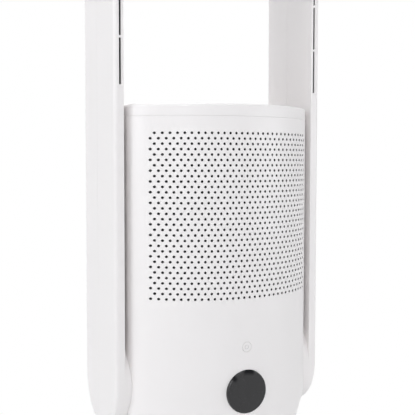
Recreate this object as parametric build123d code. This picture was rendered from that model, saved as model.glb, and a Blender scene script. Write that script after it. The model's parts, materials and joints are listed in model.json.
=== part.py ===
"""Bladeless tower air purifier: a perforated drum between the arms of an inverted-U air loop.

Millimetres, +Z up, front towards -Y, origin on the floor under the swivel axis.
Each function makes one separate piece; the last section writes one STEP file per piece.
"""
import math
import os

from build123d import *

# ---------------------------------------------------------------- driving dimensions
# Clearances
seam = 0.5                 # open parting line between two visible mouldings
slip = 0.3                 # gap between pieces that are put together by hand
running_fit = 0.06         # radial play of a turning shaft
key_play = 0.3             # gap around the power key
over = 1.0                 # how far cutting and joining bodies run past a face
tip_room = 2.0             # free depth of a screw hole past the screw's tip

# Body of the tower: an ellipse in plan with flattened sides
body_half_x = 131.4
body_half_y = 111.0
side_flat_depth = 12.4     # how far the side flats cut into the ellipse
side_blend_r = 24.0
body_bottom_z = 44.0
taper_top_z = 105.0
taper_deg = 14.5
cap_line_z = 444.4
cap_top_z = 458.6
cap_edge_r = 4.0
cover_wall = 2.4
side_split_y = 22.0        # front and rear covers meet the side frames here
lip_wall = 2.0             # inner lips that the covers lie on
lip_reach = 8.0
duct_rim_w = 12.0          # width of the frame around each duct opening
frame_rib_rise = 6.0       # from the body's lower edge to the ribs and lips inside
scoop_r = 12.0
scoop_depth = 2.0
scoop_w = 60.0

magnet_t = 3.0
magnet_w = 9.0
magnet_h = 16.0
magnet_gap = 0.8

# Perforation of the covers
hole_d = 3.0
hole_pitch_x = 7.0
hole_pitch_z = 6.0
hole_rows = 32
hole_low_z = 239.3
hole_margin = 29.9         # from the widest point of the body to the outermost holes
rear_hole_margin = 41.4
front_hole_step = 2        # every second hole and row is cut
rear_hole_step = 3

# Controls in the front cover
lens_r = 25.0
lens_z = 130.8
lens_proud = 1.6
lens_t = 4.6
lens_rim_wall = 3.0
lens_bevel = 1.0
lens_boss_gap = 2.0        # from the lens's rim to the display board's bosses
key_r = 5.7
key_z = 182.4
key_travel = 0.8
key_flange_w = 1.3
key_flange_play = 0.1
key_flange_t = 1.0
key_boss_gap = 1.0         # from the key's flange to the key board's bosses
key_board_half_z = 7.0
board_margin = 2.0
board_screw_length = 4.0
board_t = 1.6
board_depth = 8.0          # from the front face back to the boards
boss_r = 3.0
screw_r = 1.5
flat_head_t = 1.4
low_head_t = 1.6
high_head_t = 2.0
switch_size = 6.0

# Air loop
loop_gap = 6.2             # open gap between the arms and the side flats
loop_thickness = 11.6
loop_half_depth = 51.5
loop_centre_y = 0.4
loop_top_z = 1060.0
loop_wall = 2.0
loop_corner_r = 4.5
loop_seam_y = 5.8
arch_rise = 32.0           # from the arch's springing up to its joints with the arms
hub_z = 136.0
hub_half_z = 57.5
hub_wrap = 23.0            # how far the hubs wrap round in front of the side flats
hub_gap = 0.4
slot_width = 2.4
slot_pitch = 54.3
slot_bridge = 2.5
slot_low_z = 479.4
slot_count = 8
strip_width = 6.4
strip_depth = 0.5
strip_margin = 2.2
liner_depth = 12.0
liner_mouth = 5.0
liner_throat = 2.0
liner_margin = 6.0

# Air duct from the fan housing through the side of the body into each hub
duct_z = 141.0
duct_half_y = 34.0
duct_half_z = 28.0
duct_wall = 2.0
duct_flange_w = 3.5
duct_flange_t = 2.4
duct_seal_t = 3.0
duct_end_gap = 1.4

# Arm brackets on the side frames
bracket_t = 2.0
bracket_margin = 4.5
arm_screw_y = 14.0
arm_screw_rise = 38.0
arm_screw_r = 2.0
arm_screw_head_r = 3.2
arm_screw_head_t = 2.0
arm_screw_length = 12.0

# Decks and filter
deck_t = 3.0
deck_inset = 5.0
filter_deck_z = 228.0
rear_split_drop = 6.0      # from the filter deck to the split between both rear covers
filter_margin = 17.0       # from the front and back of the body to the filter
filter_side_margin = 25.0  # from the side flats to the filter
filter_paper_t = 28.0
filter_cap_t = 3.0
filter_cap_overhang = 2.0  # at the rim and at the hole
filter_height = 191.0
gasket_t = 2.0
gasket_w = 10.0
carbon_t = 4.0
cap_post_inset = 15.0
cap_post_y = 36.0
cap_post_r = 4.0
cap_skirt_h = 6.0
cap_screw_reach = 12.0     # from the top deck's underside to the tip
deck_hole_inset = 6.0      # from the carbon to the hole in the top deck
inlet_lip_r = 2.5

# Fan
housing_inset = 6.0        # from the filter's edge to the housing's wall
housing_wall = 2.5
housing_bottom_z = 84.0
housing_flange_w = 5.0
housing_hole_inset = 8.0
inlet_step = 4.0           # the inlet is this much smaller than the impeller's eye
inlet_wall = 2.5
inlet_drop = 12.0
mount_height = 32.0
mount_foot_w = 14.0
mount_wall = 3.0
damper_t = 3.0
motor_r = 36.0
motor_height = 44.0
motor_boss_r = 10.0
motor_boss_t = 4.0
motor_boss_play = 2.0
motor_edge = 3.0
motor_screw_reach = 4.0
shaft_r = 4.0
shaft_root = 4.0
shaft_tip = 2.0
scroll_gap = 15.5          # around the impeller inside the housing
blade_chord = 20.0         # from the eye to the rim
impeller_gap = 8.0
impeller_plate_t = 3.0
impeller_hub_r = 14.0
hub_drop = 10.0            # from the shroud down to the top of the hub
blade_count = 14
blade_height = 32.0
blade_t = 1.6
blade_sweep_deg = 38.0
blade_bow = 0.18           # share of the blade's length that it bows
blade_root_inset = 8.0     # how far the blades reach in past the eye
blade_sink = 0.5           # how far they run into both plates
shroud_t = 2.0
eye_collar_t = 2.0
eye_collar_rise = 6.0
nut_flats = 12.0
nut_t = 6.0

# Base and swivel
base_r = 135.0
base_edge_z = 20.0
base_edge_r = 7.0
base_wall = 2.5
base_plate_t = 3.0
foot_proud = 2.0
foot_r = 9.0
foot_recess = 1.0
foot_play = 0.2
foot_count = 6
foot_inset = 23.0
base_screw_inset = 8.0
base_screw_reach = 8.0
dome_bulge = 1.6
collar_gap = 2.0
collar_z = 32.0
collar_h = 8.0
cover_lift = 0.5           # from the plate's underside to the dome's edge
ballast_inset = 13.0
ballast_collar_gap = 6.0
ballast_t = 10.0
cable_channel_w = 14.0
post_r = 15.0
post_wall = 6.0
post_floor_t = 1.0
post_notch = (12.0, 8.0, 8.0)    # depth, width and height of the cable's way out of the post
race_notch = (12.0, 9.0)   # width and height of its way under the slide ring
neck_r = 64.0
neck_wall = 4.0
neck_floor_z = 26.0
neck_floor_t = 3.0
neck_hub_wall = 7.0
tray_hole_margin = 6.0
turntable_flange_w = 16.0
turntable_t = 3.0
race_inset = 2.0
race_lip = 1.0
race_w = 6.0
race_t = 4.0
race_gap = 0.1
ring_rim_w = 9.0
ring_t = 2.0
post_tip = 4.0
gear_module = 1.25
tooth_tip = 0.9            # in modules
tooth_root = 1.2
gear_bore_play = 1.0
sector_teeth = 56
sector_cut_teeth = 19
pinion_teeth = 14
gear_t = 5.6
gear_backlash = 0.24
pressure_deg = 20.0
pinion_shaft_r = 2.5
pinion_shaft_rise = 6.0    # from the base's floor to the shaft's lower end
swivel_motor_r = 14.0
swivel_motor_offset = 8.0
swivel_motor_t = 12.0
swivel_boss_r = 4.5
swivel_boss_t = 1.0
swivel_ear_t = 1.0
swivel_ear_margin = 0.5
swivel_screw_length = 6.0
gland_r = 4.4
gland_bore_r = 3.0
gland_flange_r = 5.2
gland_flange_t = 2.4
gland_root = 8.0
gland_play = 0.8

# Power board under the fan housing
power_board_x = 116.0
power_board_y = 64.0
power_board_centre_y = 45.0
power_board_lift = 8.0
standoff_r = 3.5
standoff_inset = 1.0
transformer = ((-30.0, -4.0), (-12.0, 12.0), 20.0)   # across, front to back, height
heat_sink = ((6.0, 16.0), (-18.0, 6.0), 14.0)
capacitor_r = 5.0
capacitor_h = 18.0
capacitor_spots = (24.0, 36.0)

# ---------------------------------------------------------------- worked out from the above
taper_slope = math.tan(math.radians(taper_deg))
side_flat_x = body_half_x - side_flat_depth
hole_half_width = body_half_x - hole_margin
rear_hole_half_width = body_half_x - rear_hole_margin
cover_top_z = cap_line_z - seam / 2
cap_bottom_z = cap_line_z + seam / 2
rear_split_z = filter_deck_z - rear_split_drop
side_half_y = side_split_y - seam
lip_inset = cover_wall + slip
lip_inner = lip_inset + lip_wall
board_front_y = board_depth - body_half_y
key_flange_y = cover_wall + slip + key_flange_play - body_half_y
switch_front_y = key_flange_y + key_flange_t + key_travel + slip
loop_inner_x = side_flat_x + loop_gap
loop_outer_x = loop_inner_x + loop_thickness
loop_spring_z = loop_top_z - loop_outer_x
arch_low_z = loop_spring_z + arch_rise
loop_front_y = loop_centre_y - loop_half_depth
slot_x = loop_inner_x + (loop_thickness - loop_corner_r) / 2 + slot_width / 4
slot_high_z = slot_low_z + slot_count * slot_pitch - slot_bridge
hub_face_x = side_flat_x + hub_gap
hub_reach_x = side_flat_x - hub_wrap
cap_post_x = side_flat_x - cap_post_inset
duct_flange_x = side_flat_x - lip_inner - slip - duct_flange_t
duct_seal_x = duct_flange_x - duct_seal_t
filter_r = min(body_half_y - filter_margin, side_flat_x - filter_side_margin)
filter_core_r = filter_r - filter_paper_t
housing_r = filter_r - housing_inset
impeller_r = housing_r - housing_wall - scroll_gap
impeller_eye_r = impeller_r - blade_chord
inlet_r = impeller_eye_r - inlet_step
mount_foot_r = motor_r + mount_foot_w
filter_seat_z = filter_deck_z + deck_t
filter_low_z = filter_seat_z + gasket_t
media_low_z = filter_low_z + filter_cap_t
media_high_z = media_low_z + filter_height
top_deck_z = media_high_z + filter_cap_t
mount_low_z = housing_bottom_z + housing_wall
mount_top_z = mount_low_z + mount_height
motor_low_z = mount_top_z + damper_t
motor_top_z = motor_low_z + motor_height
impeller_low_z = motor_top_z + motor_boss_t + impeller_gap
blade_low_z = impeller_low_z + impeller_plate_t
shroud_z = blade_low_z + blade_height
hub_top_z = shroud_z - hub_drop
collar_r = neck_r + collar_gap
ballast_inner_r = collar_r + ballast_collar_gap
ballast_outer_r = base_r - ballast_inset
foot_circle_r = base_r - foot_inset
turntable_r = neck_r + turntable_flange_w
race_outer_r = neck_r - race_inset
race_inner_r = race_outer_r - race_w
post_bore_r = post_r - post_wall
neck_hub_r = post_r + neck_hub_wall
base_plate_z = foot_proud
base_floor_z = base_plate_z + base_plate_t
post_top_z = body_bottom_z + ring_t + post_tip
gear_top_z = neck_floor_z
gear_low_z = gear_top_z - gear_t
sector_r = gear_module * sector_teeth / 2
pinion_r = gear_module * pinion_teeth / 2
pinion_y = -(sector_r + pinion_r)
swivel_motor_y = pinion_y + swivel_motor_offset
tray_z = body_bottom_z
gland_z = base_floor_z + gland_flange_r
tray_top_z = tray_z + deck_t


# ---------------------------------------------------------------- small helpers
def rod(radius, bottom, top, x=0.0, y=0.0):
    """Upright cylinder between two heights."""
    height = top - bottom
    return Pos(x, y, bottom + height / 2) * Cylinder(radius, height)


def ring(outer, inner, bottom, top, x=0.0, y=0.0):
    """Upright tube between two heights."""
    return rod(outer, bottom, top, x, y) - rod(inner, bottom - over, top + over, x, y)


def rod_y(radius, front, back, x, z):
    """Cylinder that lies front to back."""
    length = back - front
    return Pos(x, front + length / 2, z) * Rot(90, 0, 0) * Cylinder(radius, length)


def rod_x(radius, left, right, y, z):
    """Cylinder that lies across."""
    length = right - left
    return Pos(left + length / 2, y, z) * Rot(0, 90, 0) * Cylinder(radius, length)


def slab(x_range, y_range, z_range):
    """Block between three pairs of limits."""
    low = [min(pair) for pair in (x_range, y_range, z_range)]
    size = [abs(pair[1] - pair[0]) for pair in (x_range, y_range, z_range)]
    middle = [start + length / 2 for start, length in zip(low, size)]
    return Pos(*middle) * Box(*size)


def screw_up(seat_z, tip_z, head_t, x, y):
    """Screw from below, with its head under seat_z."""
    head = rod(2 * screw_r, seat_z - head_t, seat_z, x, y)
    return head + rod(screw_r, seat_z - head_t, tip_z, x, y)


def both_sides(piece):
    """The piece and its mirror image across the middle plane of the tower."""
    return [piece, mirror(piece, Plane.YZ)]


def oval_x(half_y, half_z, left, right, y=loop_centre_y, z=duct_z):
    """Oval cylinder that lies across."""
    face = Plane(origin=(left, y, z), x_dir=(0, 1, 0), z_dir=(1, 0, 0)) * Ellipse(half_y, half_z)
    return extrude(face, right - left)


def wide(limit=400.0):
    """A pair of limits that reaches past the whole object."""
    return (-limit, limit)


# ---------------------------------------------------------------- the body's outer form
def body_plan(inset):
    """Plan of the body, drawn in by inset: an ellipse with flat sides and blended corners."""
    half_x = body_half_x - inset
    half_y = body_half_y - inset
    plan = Ellipse(half_x, half_y) & Rectangle(2 * (side_flat_x - inset), 2 * half_y)
    return fillet(plan.vertices(), side_blend_r - inset)


def body_block(inset, bottom, top):
    """Solid inside the body's faces, drawn in by inset: upright sides above a tapered foot."""
    start = max(bottom, taper_top_z)
    block = extrude(Pos(0, 0, start) * body_plan(inset), top - start)
    if bottom < taper_top_z:
        drop = (taper_top_z - bottom) * taper_slope
        rim = Pos(0, 0, taper_top_z) * body_plan(inset)
        foot = Pos(0, 0, bottom) * body_plan(inset + drop)
        block += loft([foot, rim], ruled=True)
    return block


def cover_shell(bottom, top, outer=0.0, inner=cover_wall):
    """Wall of the body between two heights and two insets."""
    return body_block(outer, bottom, top) - body_block(inner, bottom - over, top + over)


def duct_opening(play):
    """Oval bore through both sides of the body for the duct sleeves."""
    half_y = duct_half_y + duct_wall + play
    half_z = duct_half_z + duct_wall + play
    return oval_x(half_y, half_z, -body_half_x, body_half_x)


def perforation(half_width, step, front):
    """Staggered straight-pull holes on the wider grid that this model cuts."""
    pitch_x = hole_pitch_x * step
    pitch_z = hole_pitch_z * step
    rows = 1 + int((hole_rows - 1) / step)
    reach = int(half_width / pitch_x)
    start = Plane.XZ if front else Plane.XZ.offset(-body_half_y)
    prisms = []
    for row in range(rows):
        shift = pitch_x / 2 if row % 2 else 0.0
        z = hole_low_z + row * pitch_z
        for column in range(-reach, reach + 1):
            x = column * pitch_x + shift
            if abs(x) <= half_width:
                hexagon = start * Pos(x, z) * RegularPolygon(hole_d / 2, 6)
                prisms.append(extrude(hexagon, body_half_y + over))
    return prisms


# ---------------------------------------------------------------- covers
def make_front_cover():
    """One moulding: perforated above, plain below, with the lens and key bores and their bosses."""
    cover = cover_shell(body_bottom_z, cover_top_z)
    cover &= slab(wide(), (-body_half_y - over, -side_split_y), (0, cap_top_z))
    cover -= duct_opening(slip)
    wall_y = cover_wall / 2 - body_half_y
    for x in (-lens_boss_x(), lens_boss_x()):
        drop = body_half_y - ellipse_y(x, cover_wall / 2)
        cover += rod_y(boss_r, wall_y + drop - cover_wall / 2, board_front_y, x, lens_z)
        cover -= rod_y(screw_r, board_front_y - boss_r, board_front_y + over, x, lens_z)
    for x in (-key_boss_x(), key_boss_x()):
        cover += rod_y(boss_r, wall_y, board_front_y, x, key_z)
        cover -= rod_y(screw_r, board_front_y - boss_r, board_front_y + over, x, key_z)
    cover -= rod_y(lens_r + slip, -body_half_y - over, board_front_y, 0, lens_z)
    cover -= rod_y(key_r + key_play, -body_half_y - over, board_front_y, 0, key_z)
    cover -= perforation(hole_half_width, front_hole_step, True)
    return cover


def ellipse_y(x, inset):
    """Depth of the front curve at x, drawn in by inset."""
    half_x = body_half_x - inset
    half_y = body_half_y - inset
    return half_y * math.sqrt(1 - (x / half_x) ** 2)


def lens_boss_x():
    """Distance of the display board's bosses from the middle."""
    return lens_r + lens_rim_wall + boss_r + lens_boss_gap


def key_boss_x():
    """Distance of the key board's bosses from the middle."""
    return key_r + key_flange_w + boss_r + key_boss_gap


def make_rear_filter_cover():
    """Removable rear cover over the filter, with a finger scoop under its top edge."""
    cover = cover_shell(rear_split_z + seam / 2, cover_top_z)
    cover &= slab(wide(), (side_split_y, body_half_y + over), (0, cap_top_z))
    cover -= perforation(rear_hole_half_width, rear_hole_step, False)
    scoop_y = body_half_y + scoop_r - scoop_depth
    return cover - rod_x(scoop_r, -scoop_w / 2, scoop_w / 2, scoop_y, cover_top_z)


def make_cover_magnets():
    """Two magnets that hold the rear cover to the plates in the side frames' lips."""
    near_y = side_split_y + lip_reach + magnet_gap
    outer_x = side_flat_x - cover_wall
    block = slab((outer_x - magnet_t, outer_x), (near_y, near_y + magnet_w), magnet_heights())
    return both_sides(block)


def make_strike_plates():
    """Steel plates on the side frames' lips that the magnets pull on."""
    far_y = side_split_y + lip_reach
    outer_x = side_flat_x - lip_inner
    block = slab((outer_x - magnet_t / 2, outer_x), (far_y - magnet_w, far_y), magnet_heights())
    return both_sides(block)


def magnet_heights():
    """Lower and upper height of the magnets, near the top of the rear cover."""
    high = top_deck_z - magnet_w
    return (high - magnet_h, high)


def make_rear_lower_panel():
    """Fixed panel behind the fan housing."""
    panel = cover_shell(body_bottom_z, rear_split_z - seam / 2)
    panel &= slab(wide(), (side_split_y, body_half_y + over), (0, cap_top_z))
    return panel - duct_opening(slip)


def make_top_cap():
    """Cap with a rounded edge, a locating skirt and four posts for its screws."""
    block = body_block(0, cap_bottom_z, cap_top_z)
    block = fillet(block.edges().group_by(Axis.Z)[-1], cap_edge_r)
    cap = block - body_block(cover_wall, cap_bottom_z - over, cap_top_z - cover_wall)
    skirt_low_z = cap_bottom_z - cap_skirt_h
    skirt = cover_shell(skirt_low_z, cap_top_z - cover_wall, deck_inset, deck_inset + lip_wall)
    rim = cover_shell(cap_top_z - 2 * cover_wall, cap_top_z - cover_wall / 2, over, deck_inset + lip_wall)
    cap += skirt
    cap += rim
    for x in (-cap_post_x, cap_post_x):
        for y in (-cap_post_y, cap_post_y):
            cap += rod(cap_post_r, top_deck_z + deck_t, cap_top_z - cover_wall / 2, x, y)
            cap -= rod(screw_r, top_deck_z, top_deck_z + cap_screw_reach + tip_room, x, y)
    return cap


def make_cap_screws():
    """Screws from below the top deck into the cap's posts."""
    screws = []
    for x in (-cap_post_x, cap_post_x):
        for y in (-cap_post_y, cap_post_y):
            screws.append(screw_up(top_deck_z, top_deck_z + cap_screw_reach, high_head_t, x, y))
    return screws


# ---------------------------------------------------------------- chassis
def make_side_frame():
    """Right-hand side wall with the lips that both covers lie on and the bore for the duct."""
    low = body_bottom_z
    high = cover_top_z
    inside = (body_bottom_z + frame_rib_rise, top_deck_z + deck_t)
    wall = cover_shell(low, high)
    wall &= slab((0, body_half_x), (-side_half_y, side_half_y), (0, cap_top_z))
    rib = cover_shell(inside[0], inside[1], cover_wall / 2, lip_inner)
    rib &= slab((0, body_half_x), (-side_half_y, side_half_y), (0, cap_top_z))
    lips = cover_shell(inside[0], inside[1], lip_inset, lip_inner)
    lip_half_y = side_split_y + lip_reach
    rim_y = duct_half_y + duct_rim_w
    rim_z = duct_half_z + duct_rim_w
    around = slab((0, body_half_x), (loop_centre_y - rim_y, loop_centre_y + rim_y),
                  (duct_z - rim_z, duct_z + rim_z))
    lips &= slab((0, body_half_x), (-lip_half_y, lip_half_y), (0, cap_top_z)) + around
    frame = wall + rib + lips - duct_opening(slip)
    for y in (-arm_screw_y, arm_screw_y):
        for rise in (-arm_screw_rise, arm_screw_rise):
            frame -= rod_x(arm_screw_r, side_flat_x / 2, body_half_x, y, duct_z + rise)
    return frame


def make_bottom_tray():
    """Floor of the tower, with a cable hole and standoffs for the power board."""
    drop = (taper_top_z - body_bottom_z) * taper_slope
    tray = extrude(Pos(0, 0, tray_z) * body_plan(cover_wall + drop + slip), deck_t)
    tray -= rod(neck_hub_r + tray_hole_margin, tray_z - over, tray_top_z + over)
    for x, y in power_board_corners():
        tray += rod(standoff_r, tray_top_z - over, tray_top_z + power_board_lift, x, y)
    for x, y in turntable_screw_spots():
        tray -= rod(screw_r, tray_z - over, tray_top_z + over, x, y)
    return tray


def make_top_deck():
    """Plate that holds the top of the filter and carries the cap."""
    deck = extrude(Pos(0, 0, top_deck_z) * body_plan(deck_inset), deck_t)
    deck -= rod(filter_core_r - carbon_t - deck_hole_inset, top_deck_z - over, top_deck_z + deck_t + over)
    for x in (-cap_post_x, cap_post_x):
        for y in (-cap_post_y, cap_post_y):
            deck -= rod(screw_r, top_deck_z - over, top_deck_z + deck_t + over, x, y)
    return deck


def make_filter_deck():
    """Plate under the filter with the bellmouth that leads into the impeller."""
    deck = extrude(Pos(0, 0, filter_deck_z) * body_plan(deck_inset), deck_t)
    mouth_r = inlet_r + inlet_wall
    deck += rod(mouth_r, filter_deck_z - inlet_drop, filter_seat_z)
    deck -= rod(inlet_r, filter_deck_z - inlet_drop - over, filter_seat_z + over)
    lip = deck.edges().filter_by(on_inlet_rim).group_by(Axis.Z)[-1]
    return fillet(lip, inlet_lip_r)


def on_inlet_rim(edge):
    """True for the circles of the inlet's bore."""
    return edge.geom_type == GeomType.CIRCLE and abs(edge.radius - inlet_r) < 0.01


# ---------------------------------------------------------------- filter
def make_filter_media():
    """Cylinder of pleated filter paper, as one closed ring."""
    return ring(filter_r, filter_core_r, media_low_z, media_high_z)


def make_carbon_core():
    """Activated carbon tube inside the paper."""
    return ring(filter_core_r, filter_core_r - carbon_t, media_low_z, media_high_z)


def make_filter_cap(bottom):
    """End cap of the filter, an annular plate."""
    outer = filter_r + filter_cap_overhang
    return ring(outer, filter_core_r - carbon_t - filter_cap_overhang, bottom, bottom + filter_cap_t)


def make_filter_gasket():
    """Foam ring between the filter and its deck."""
    return ring(filter_r, filter_r - gasket_w, filter_seat_z, filter_seat_z + gasket_t)


# ---------------------------------------------------------------- fan
def make_fan_housing():
    """Cup around the impeller with an oval outlet on each side."""
    wall = housing_wall
    reach = duct_seal_x
    body = rod(housing_r, housing_bottom_z, filter_deck_z)
    body += oval_x(duct_half_y + duct_wall, duct_half_z + duct_wall, -reach, reach)
    body += rod(housing_r + housing_flange_w, filter_deck_z - wall, filter_deck_z)
    body -= rod(housing_r - wall, housing_bottom_z + wall, filter_deck_z + over)
    body -= oval_x(duct_half_y, duct_half_z, -reach - over, reach + over)
    body += rod(housing_r, housing_bottom_z, housing_bottom_z + wall)
    return body - rod(motor_r - housing_hole_inset, housing_bottom_z - over, housing_bottom_z + wall + over)


def make_duct_seal():
    """Foam ring between the housing's outlet and the sleeve."""
    seal = oval_x(duct_half_y + duct_wall, duct_half_z + duct_wall, duct_seal_x, duct_flange_x)
    return seal - oval_x(duct_half_y, duct_half_z, duct_seal_x - over, duct_flange_x + over)


def make_duct_sleeve():
    """Oval sleeve that carries the air through the side of the body into the hub."""
    end_x = loop_inner_x - duct_end_gap
    outer_y = duct_half_y + duct_wall
    outer_z = duct_half_z + duct_wall
    sleeve = oval_x(outer_y, outer_z, duct_flange_x, end_x)
    sleeve += oval_x(outer_y + duct_flange_w, outer_z + duct_flange_w,
                     duct_flange_x, duct_flange_x + duct_flange_t)
    return sleeve - oval_x(duct_half_y, duct_half_z, duct_flange_x - over, end_x + over)


def make_motor_mount():
    """Pedestal on the housing floor that carries the fan motor."""
    foot_top_z = mount_low_z + mount_wall
    bore_r = motor_boss_r + motor_boss_play
    points = [(mount_foot_r, mount_low_z), (mount_foot_r, foot_top_z),
              (motor_r + mount_wall, foot_top_z), (motor_r, mount_top_z),
              (bore_r, mount_top_z), (bore_r, mount_top_z - mount_wall),
              (motor_r - mount_wall, mount_top_z - mount_wall), (motor_r, mount_low_z)]
    profile = Plane.XZ * make_face(Polyline(*points, close=True))
    mount = revolve(profile, Axis.Z)
    for angle in range(0, 360, 120):
        spot = Rot(0, 0, angle) * Pos(motor_screw_r(), 0, 0)
        mount -= spot * rod(screw_r, mount_top_z - mount_wall - over, mount_top_z + over)
    return mount


def motor_screw_r():
    """Radius of the circle of motor screws."""
    return (motor_boss_r + motor_r) / 2


def make_damper_ring():
    """Rubber ring between the motor and its mount."""
    damper = ring(motor_r, motor_boss_r + motor_boss_play, mount_top_z, motor_low_z)
    for angle in range(0, 360, 120):
        spot = Rot(0, 0, angle) * Pos(motor_screw_r(), 0, 0)
        damper -= spot * rod(screw_r, mount_top_z - over, motor_low_z + over)
    return damper


def make_fan_motor():
    """Motor can with a bearing boss; its bore is a running fit for the shaft."""
    can = rod(motor_r, motor_low_z, motor_top_z)
    can = chamfer(can.edges().group_by(Axis.Z)[-1], motor_edge)
    can += rod(motor_boss_r, motor_top_z - over, motor_top_z + motor_boss_t)
    can -= rod(shaft_r + running_fit, motor_low_z - over, motor_top_z + motor_boss_t + over)
    for angle in range(0, 360, 120):
        spot = Rot(0, 0, angle) * Pos(motor_screw_r(), 0, 0)
        can -= spot * rod(screw_r, motor_low_z - over, motor_low_z + motor_screw_reach + tip_room)
    return can


def make_motor_screws():
    """Screws from below the mount into the motor."""
    screws = []
    for angle in range(0, 360, 120):
        spot = Rot(0, 0, angle) * Pos(motor_screw_r(), 0, 0)
        seat_z = mount_top_z - mount_wall
        screws.append(spot * screw_up(seat_z, motor_low_z + motor_screw_reach, high_head_t, 0, 0))
    return screws


def make_motor_shaft():
    """Shaft from the motor through the impeller."""
    return rod(shaft_r, motor_low_z + shaft_root, hub_top_z + nut_t + shaft_tip)


def make_impeller():
    """Backward-curved wheel: back plate with hub, blades and shroud with an eye collar."""
    wheel = rod(impeller_r, impeller_low_z, blade_low_z)
    wheel += rod(impeller_hub_r, impeller_low_z, hub_top_z)
    for index in range(blade_count):
        wheel += Rot(0, 0, index * 360 / blade_count) * impeller_blade()
    wheel += ring(impeller_r, impeller_eye_r, shroud_z, shroud_z + shroud_t)
    wheel += ring(impeller_eye_r + eye_collar_t, impeller_eye_r, shroud_z, shroud_z + eye_collar_rise)
    return wheel - rod(shaft_r, impeller_low_z - over, shroud_z)


def impeller_blade():
    """One blade: an arc of even thickness that leans back from the eye to the rim."""
    inner = impeller_eye_r - blade_root_inset
    outer = impeller_r - blade_t
    sweep = math.radians(-blade_sweep_deg)
    start = Vector(inner, 0)
    end = Vector(outer * math.cos(sweep), outer * math.sin(sweep))
    middle = (start + end) * 0.5
    bow = Vector(math.cos(sweep / 2), math.sin(sweep / 2)) * (outer - inner) * blade_bow
    arc = ThreePointArc(start, middle + bow, end)
    low = Pos(0, 0, blade_low_z - blade_sink)
    return extrude(low * trace(arc, blade_t), blade_height + 2 * blade_sink)


def make_impeller_nut():
    """Nut that clamps the impeller on its shaft."""
    nut = extrude(Pos(0, 0, hub_top_z) * RegularPolygon(nut_flats / 2, 6, major_radius=False), nut_t)
    return nut - rod(shaft_r, hub_top_z - over, hub_top_z + nut_t + over)


# ---------------------------------------------------------------- air loop
def loop_block(inset):
    """Solid inside the loop's faces, drawn in by inset: band, rounded ends and oval hubs."""
    outer_x = loop_outer_x - inset
    inner_x = loop_inner_x + inset
    half_depth = loop_half_depth - inset
    low_z = hub_z - hub_half_z + inset
    straight = loop_spring_z - low_z
    legs = Pos(0, low_z + straight / 2)
    outline = legs * Rectangle(2 * outer_x, straight) + Pos(0, loop_spring_z) * Circle(outer_x)
    hollow = legs * Rectangle(2 * inner_x, straight) + Pos(0, loop_spring_z) * Circle(inner_x)
    hollow += Pos(0, low_z) * Rectangle(2 * inner_x, 2 * over)
    band = extrude(Plane.XZ * (outline - hollow), half_depth, both=True)
    height = loop_top_z + over - hub_z
    side = Ellipse(half_depth, hub_half_z - inset) + Pos(0, height / 2) * Rectangle(2 * half_depth, height)
    band &= extrude(Plane.YZ * Pos(0, hub_z) * side, loop_outer_x + over, both=True)
    skin = [edge for edge in band.edges() if on_loop_skin(edge, outer_x)]
    band = fillet(skin, loop_corner_r - inset)
    band = Pos(0, loop_centre_y, 0) * band
    for hub in both_sides(oval_x(half_depth, hub_half_z - inset, hub_reach_x, inner_x + over, z=hub_z)):
        band += hub
    return band


def on_loop_skin(edge, outer_x):
    """True for the long edges where the loop's outer face meets its front and back faces."""
    point = edge @ 0.5
    if abs(point.Z - loop_spring_z) < 0.01:
        return False
    if point.Z < loop_spring_z:
        return abs(abs(point.X) - outer_x) < 0.01
    return abs(math.hypot(point.X, point.Z - loop_spring_z) - outer_x) < 0.01


def loop_shell():
    """Hollow loop with open hubs, its shallow front strips and the outlet slots."""
    solid = loop_block(0) - body_block(-hub_gap, body_bottom_z, cap_top_z)
    shell = solid - loop_block(loop_wall)
    front = (loop_front_y - over, loop_front_y + strip_depth)
    low_z = slot_low_z - strip_margin
    high_z = slot_high_z + strip_margin
    strip = slab((slot_x - strip_width / 2, slot_x + strip_width / 2), front, (low_z, high_z))
    shell -= both_sides(strip)
    through = (loop_front_y - over, loop_front_y + loop_wall + over)
    for index in range(slot_count):
        low = slot_low_z + index * slot_pitch
        slot = slab((slot_x - slot_width / 2, slot_x + slot_width / 2), through,
                    (low, low + slot_pitch - slot_bridge))
        shell -= both_sides(slot)
    return shell


def loop_half(shell, front):
    """Front or rear half of the loop: its two arms and its arch."""
    if front:
        depth = (-loop_outer_x, loop_seam_y - slip / 2)
    else:
        depth = (loop_seam_y + slip / 2, loop_outer_x)
    arms = shell & slab(wide(), depth, (0, arch_low_z))
    arch = shell & slab(wide(), depth, (arch_low_z, loop_top_z + over))
    return arms.solids(), arch


def make_nozzle_liner():
    """Strip behind the slots of the right arm that narrows the air towards each slot."""
    left = loop_inner_x + loop_wall + slip
    right = loop_outer_x - loop_wall - slip
    front = loop_front_y + loop_wall + slip
    low_z = slot_low_z - liner_margin
    high_z = slot_high_z + liner_margin
    liner = slab((left, right), (front, front + liner_depth), (low_z, high_z))
    outer_edge = liner.edges().filter_by(Axis.Z).sort_by(Axis.X)[-2:].sort_by(Axis.Y)[0]
    liner = chamfer(outer_edge, loop_corner_r - loop_wall)
    for index in range(slot_count):
        low = slot_low_z + index * slot_pitch
        half = slot_width / 2
        wide_half = liner_mouth / 2
        start = front - over
        throat = front + liner_throat
        back = front + liner_depth + over
        mouth = Polyline((slot_x - half, start), (slot_x + half, start), (slot_x + half, throat),
                         (slot_x + wide_half, back), (slot_x - wide_half, back),
                         (slot_x - half, throat), close=True)
        liner -= extrude(Pos(0, 0, low) * make_face(mouth), slot_pitch - slot_bridge)
    return liner


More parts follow.
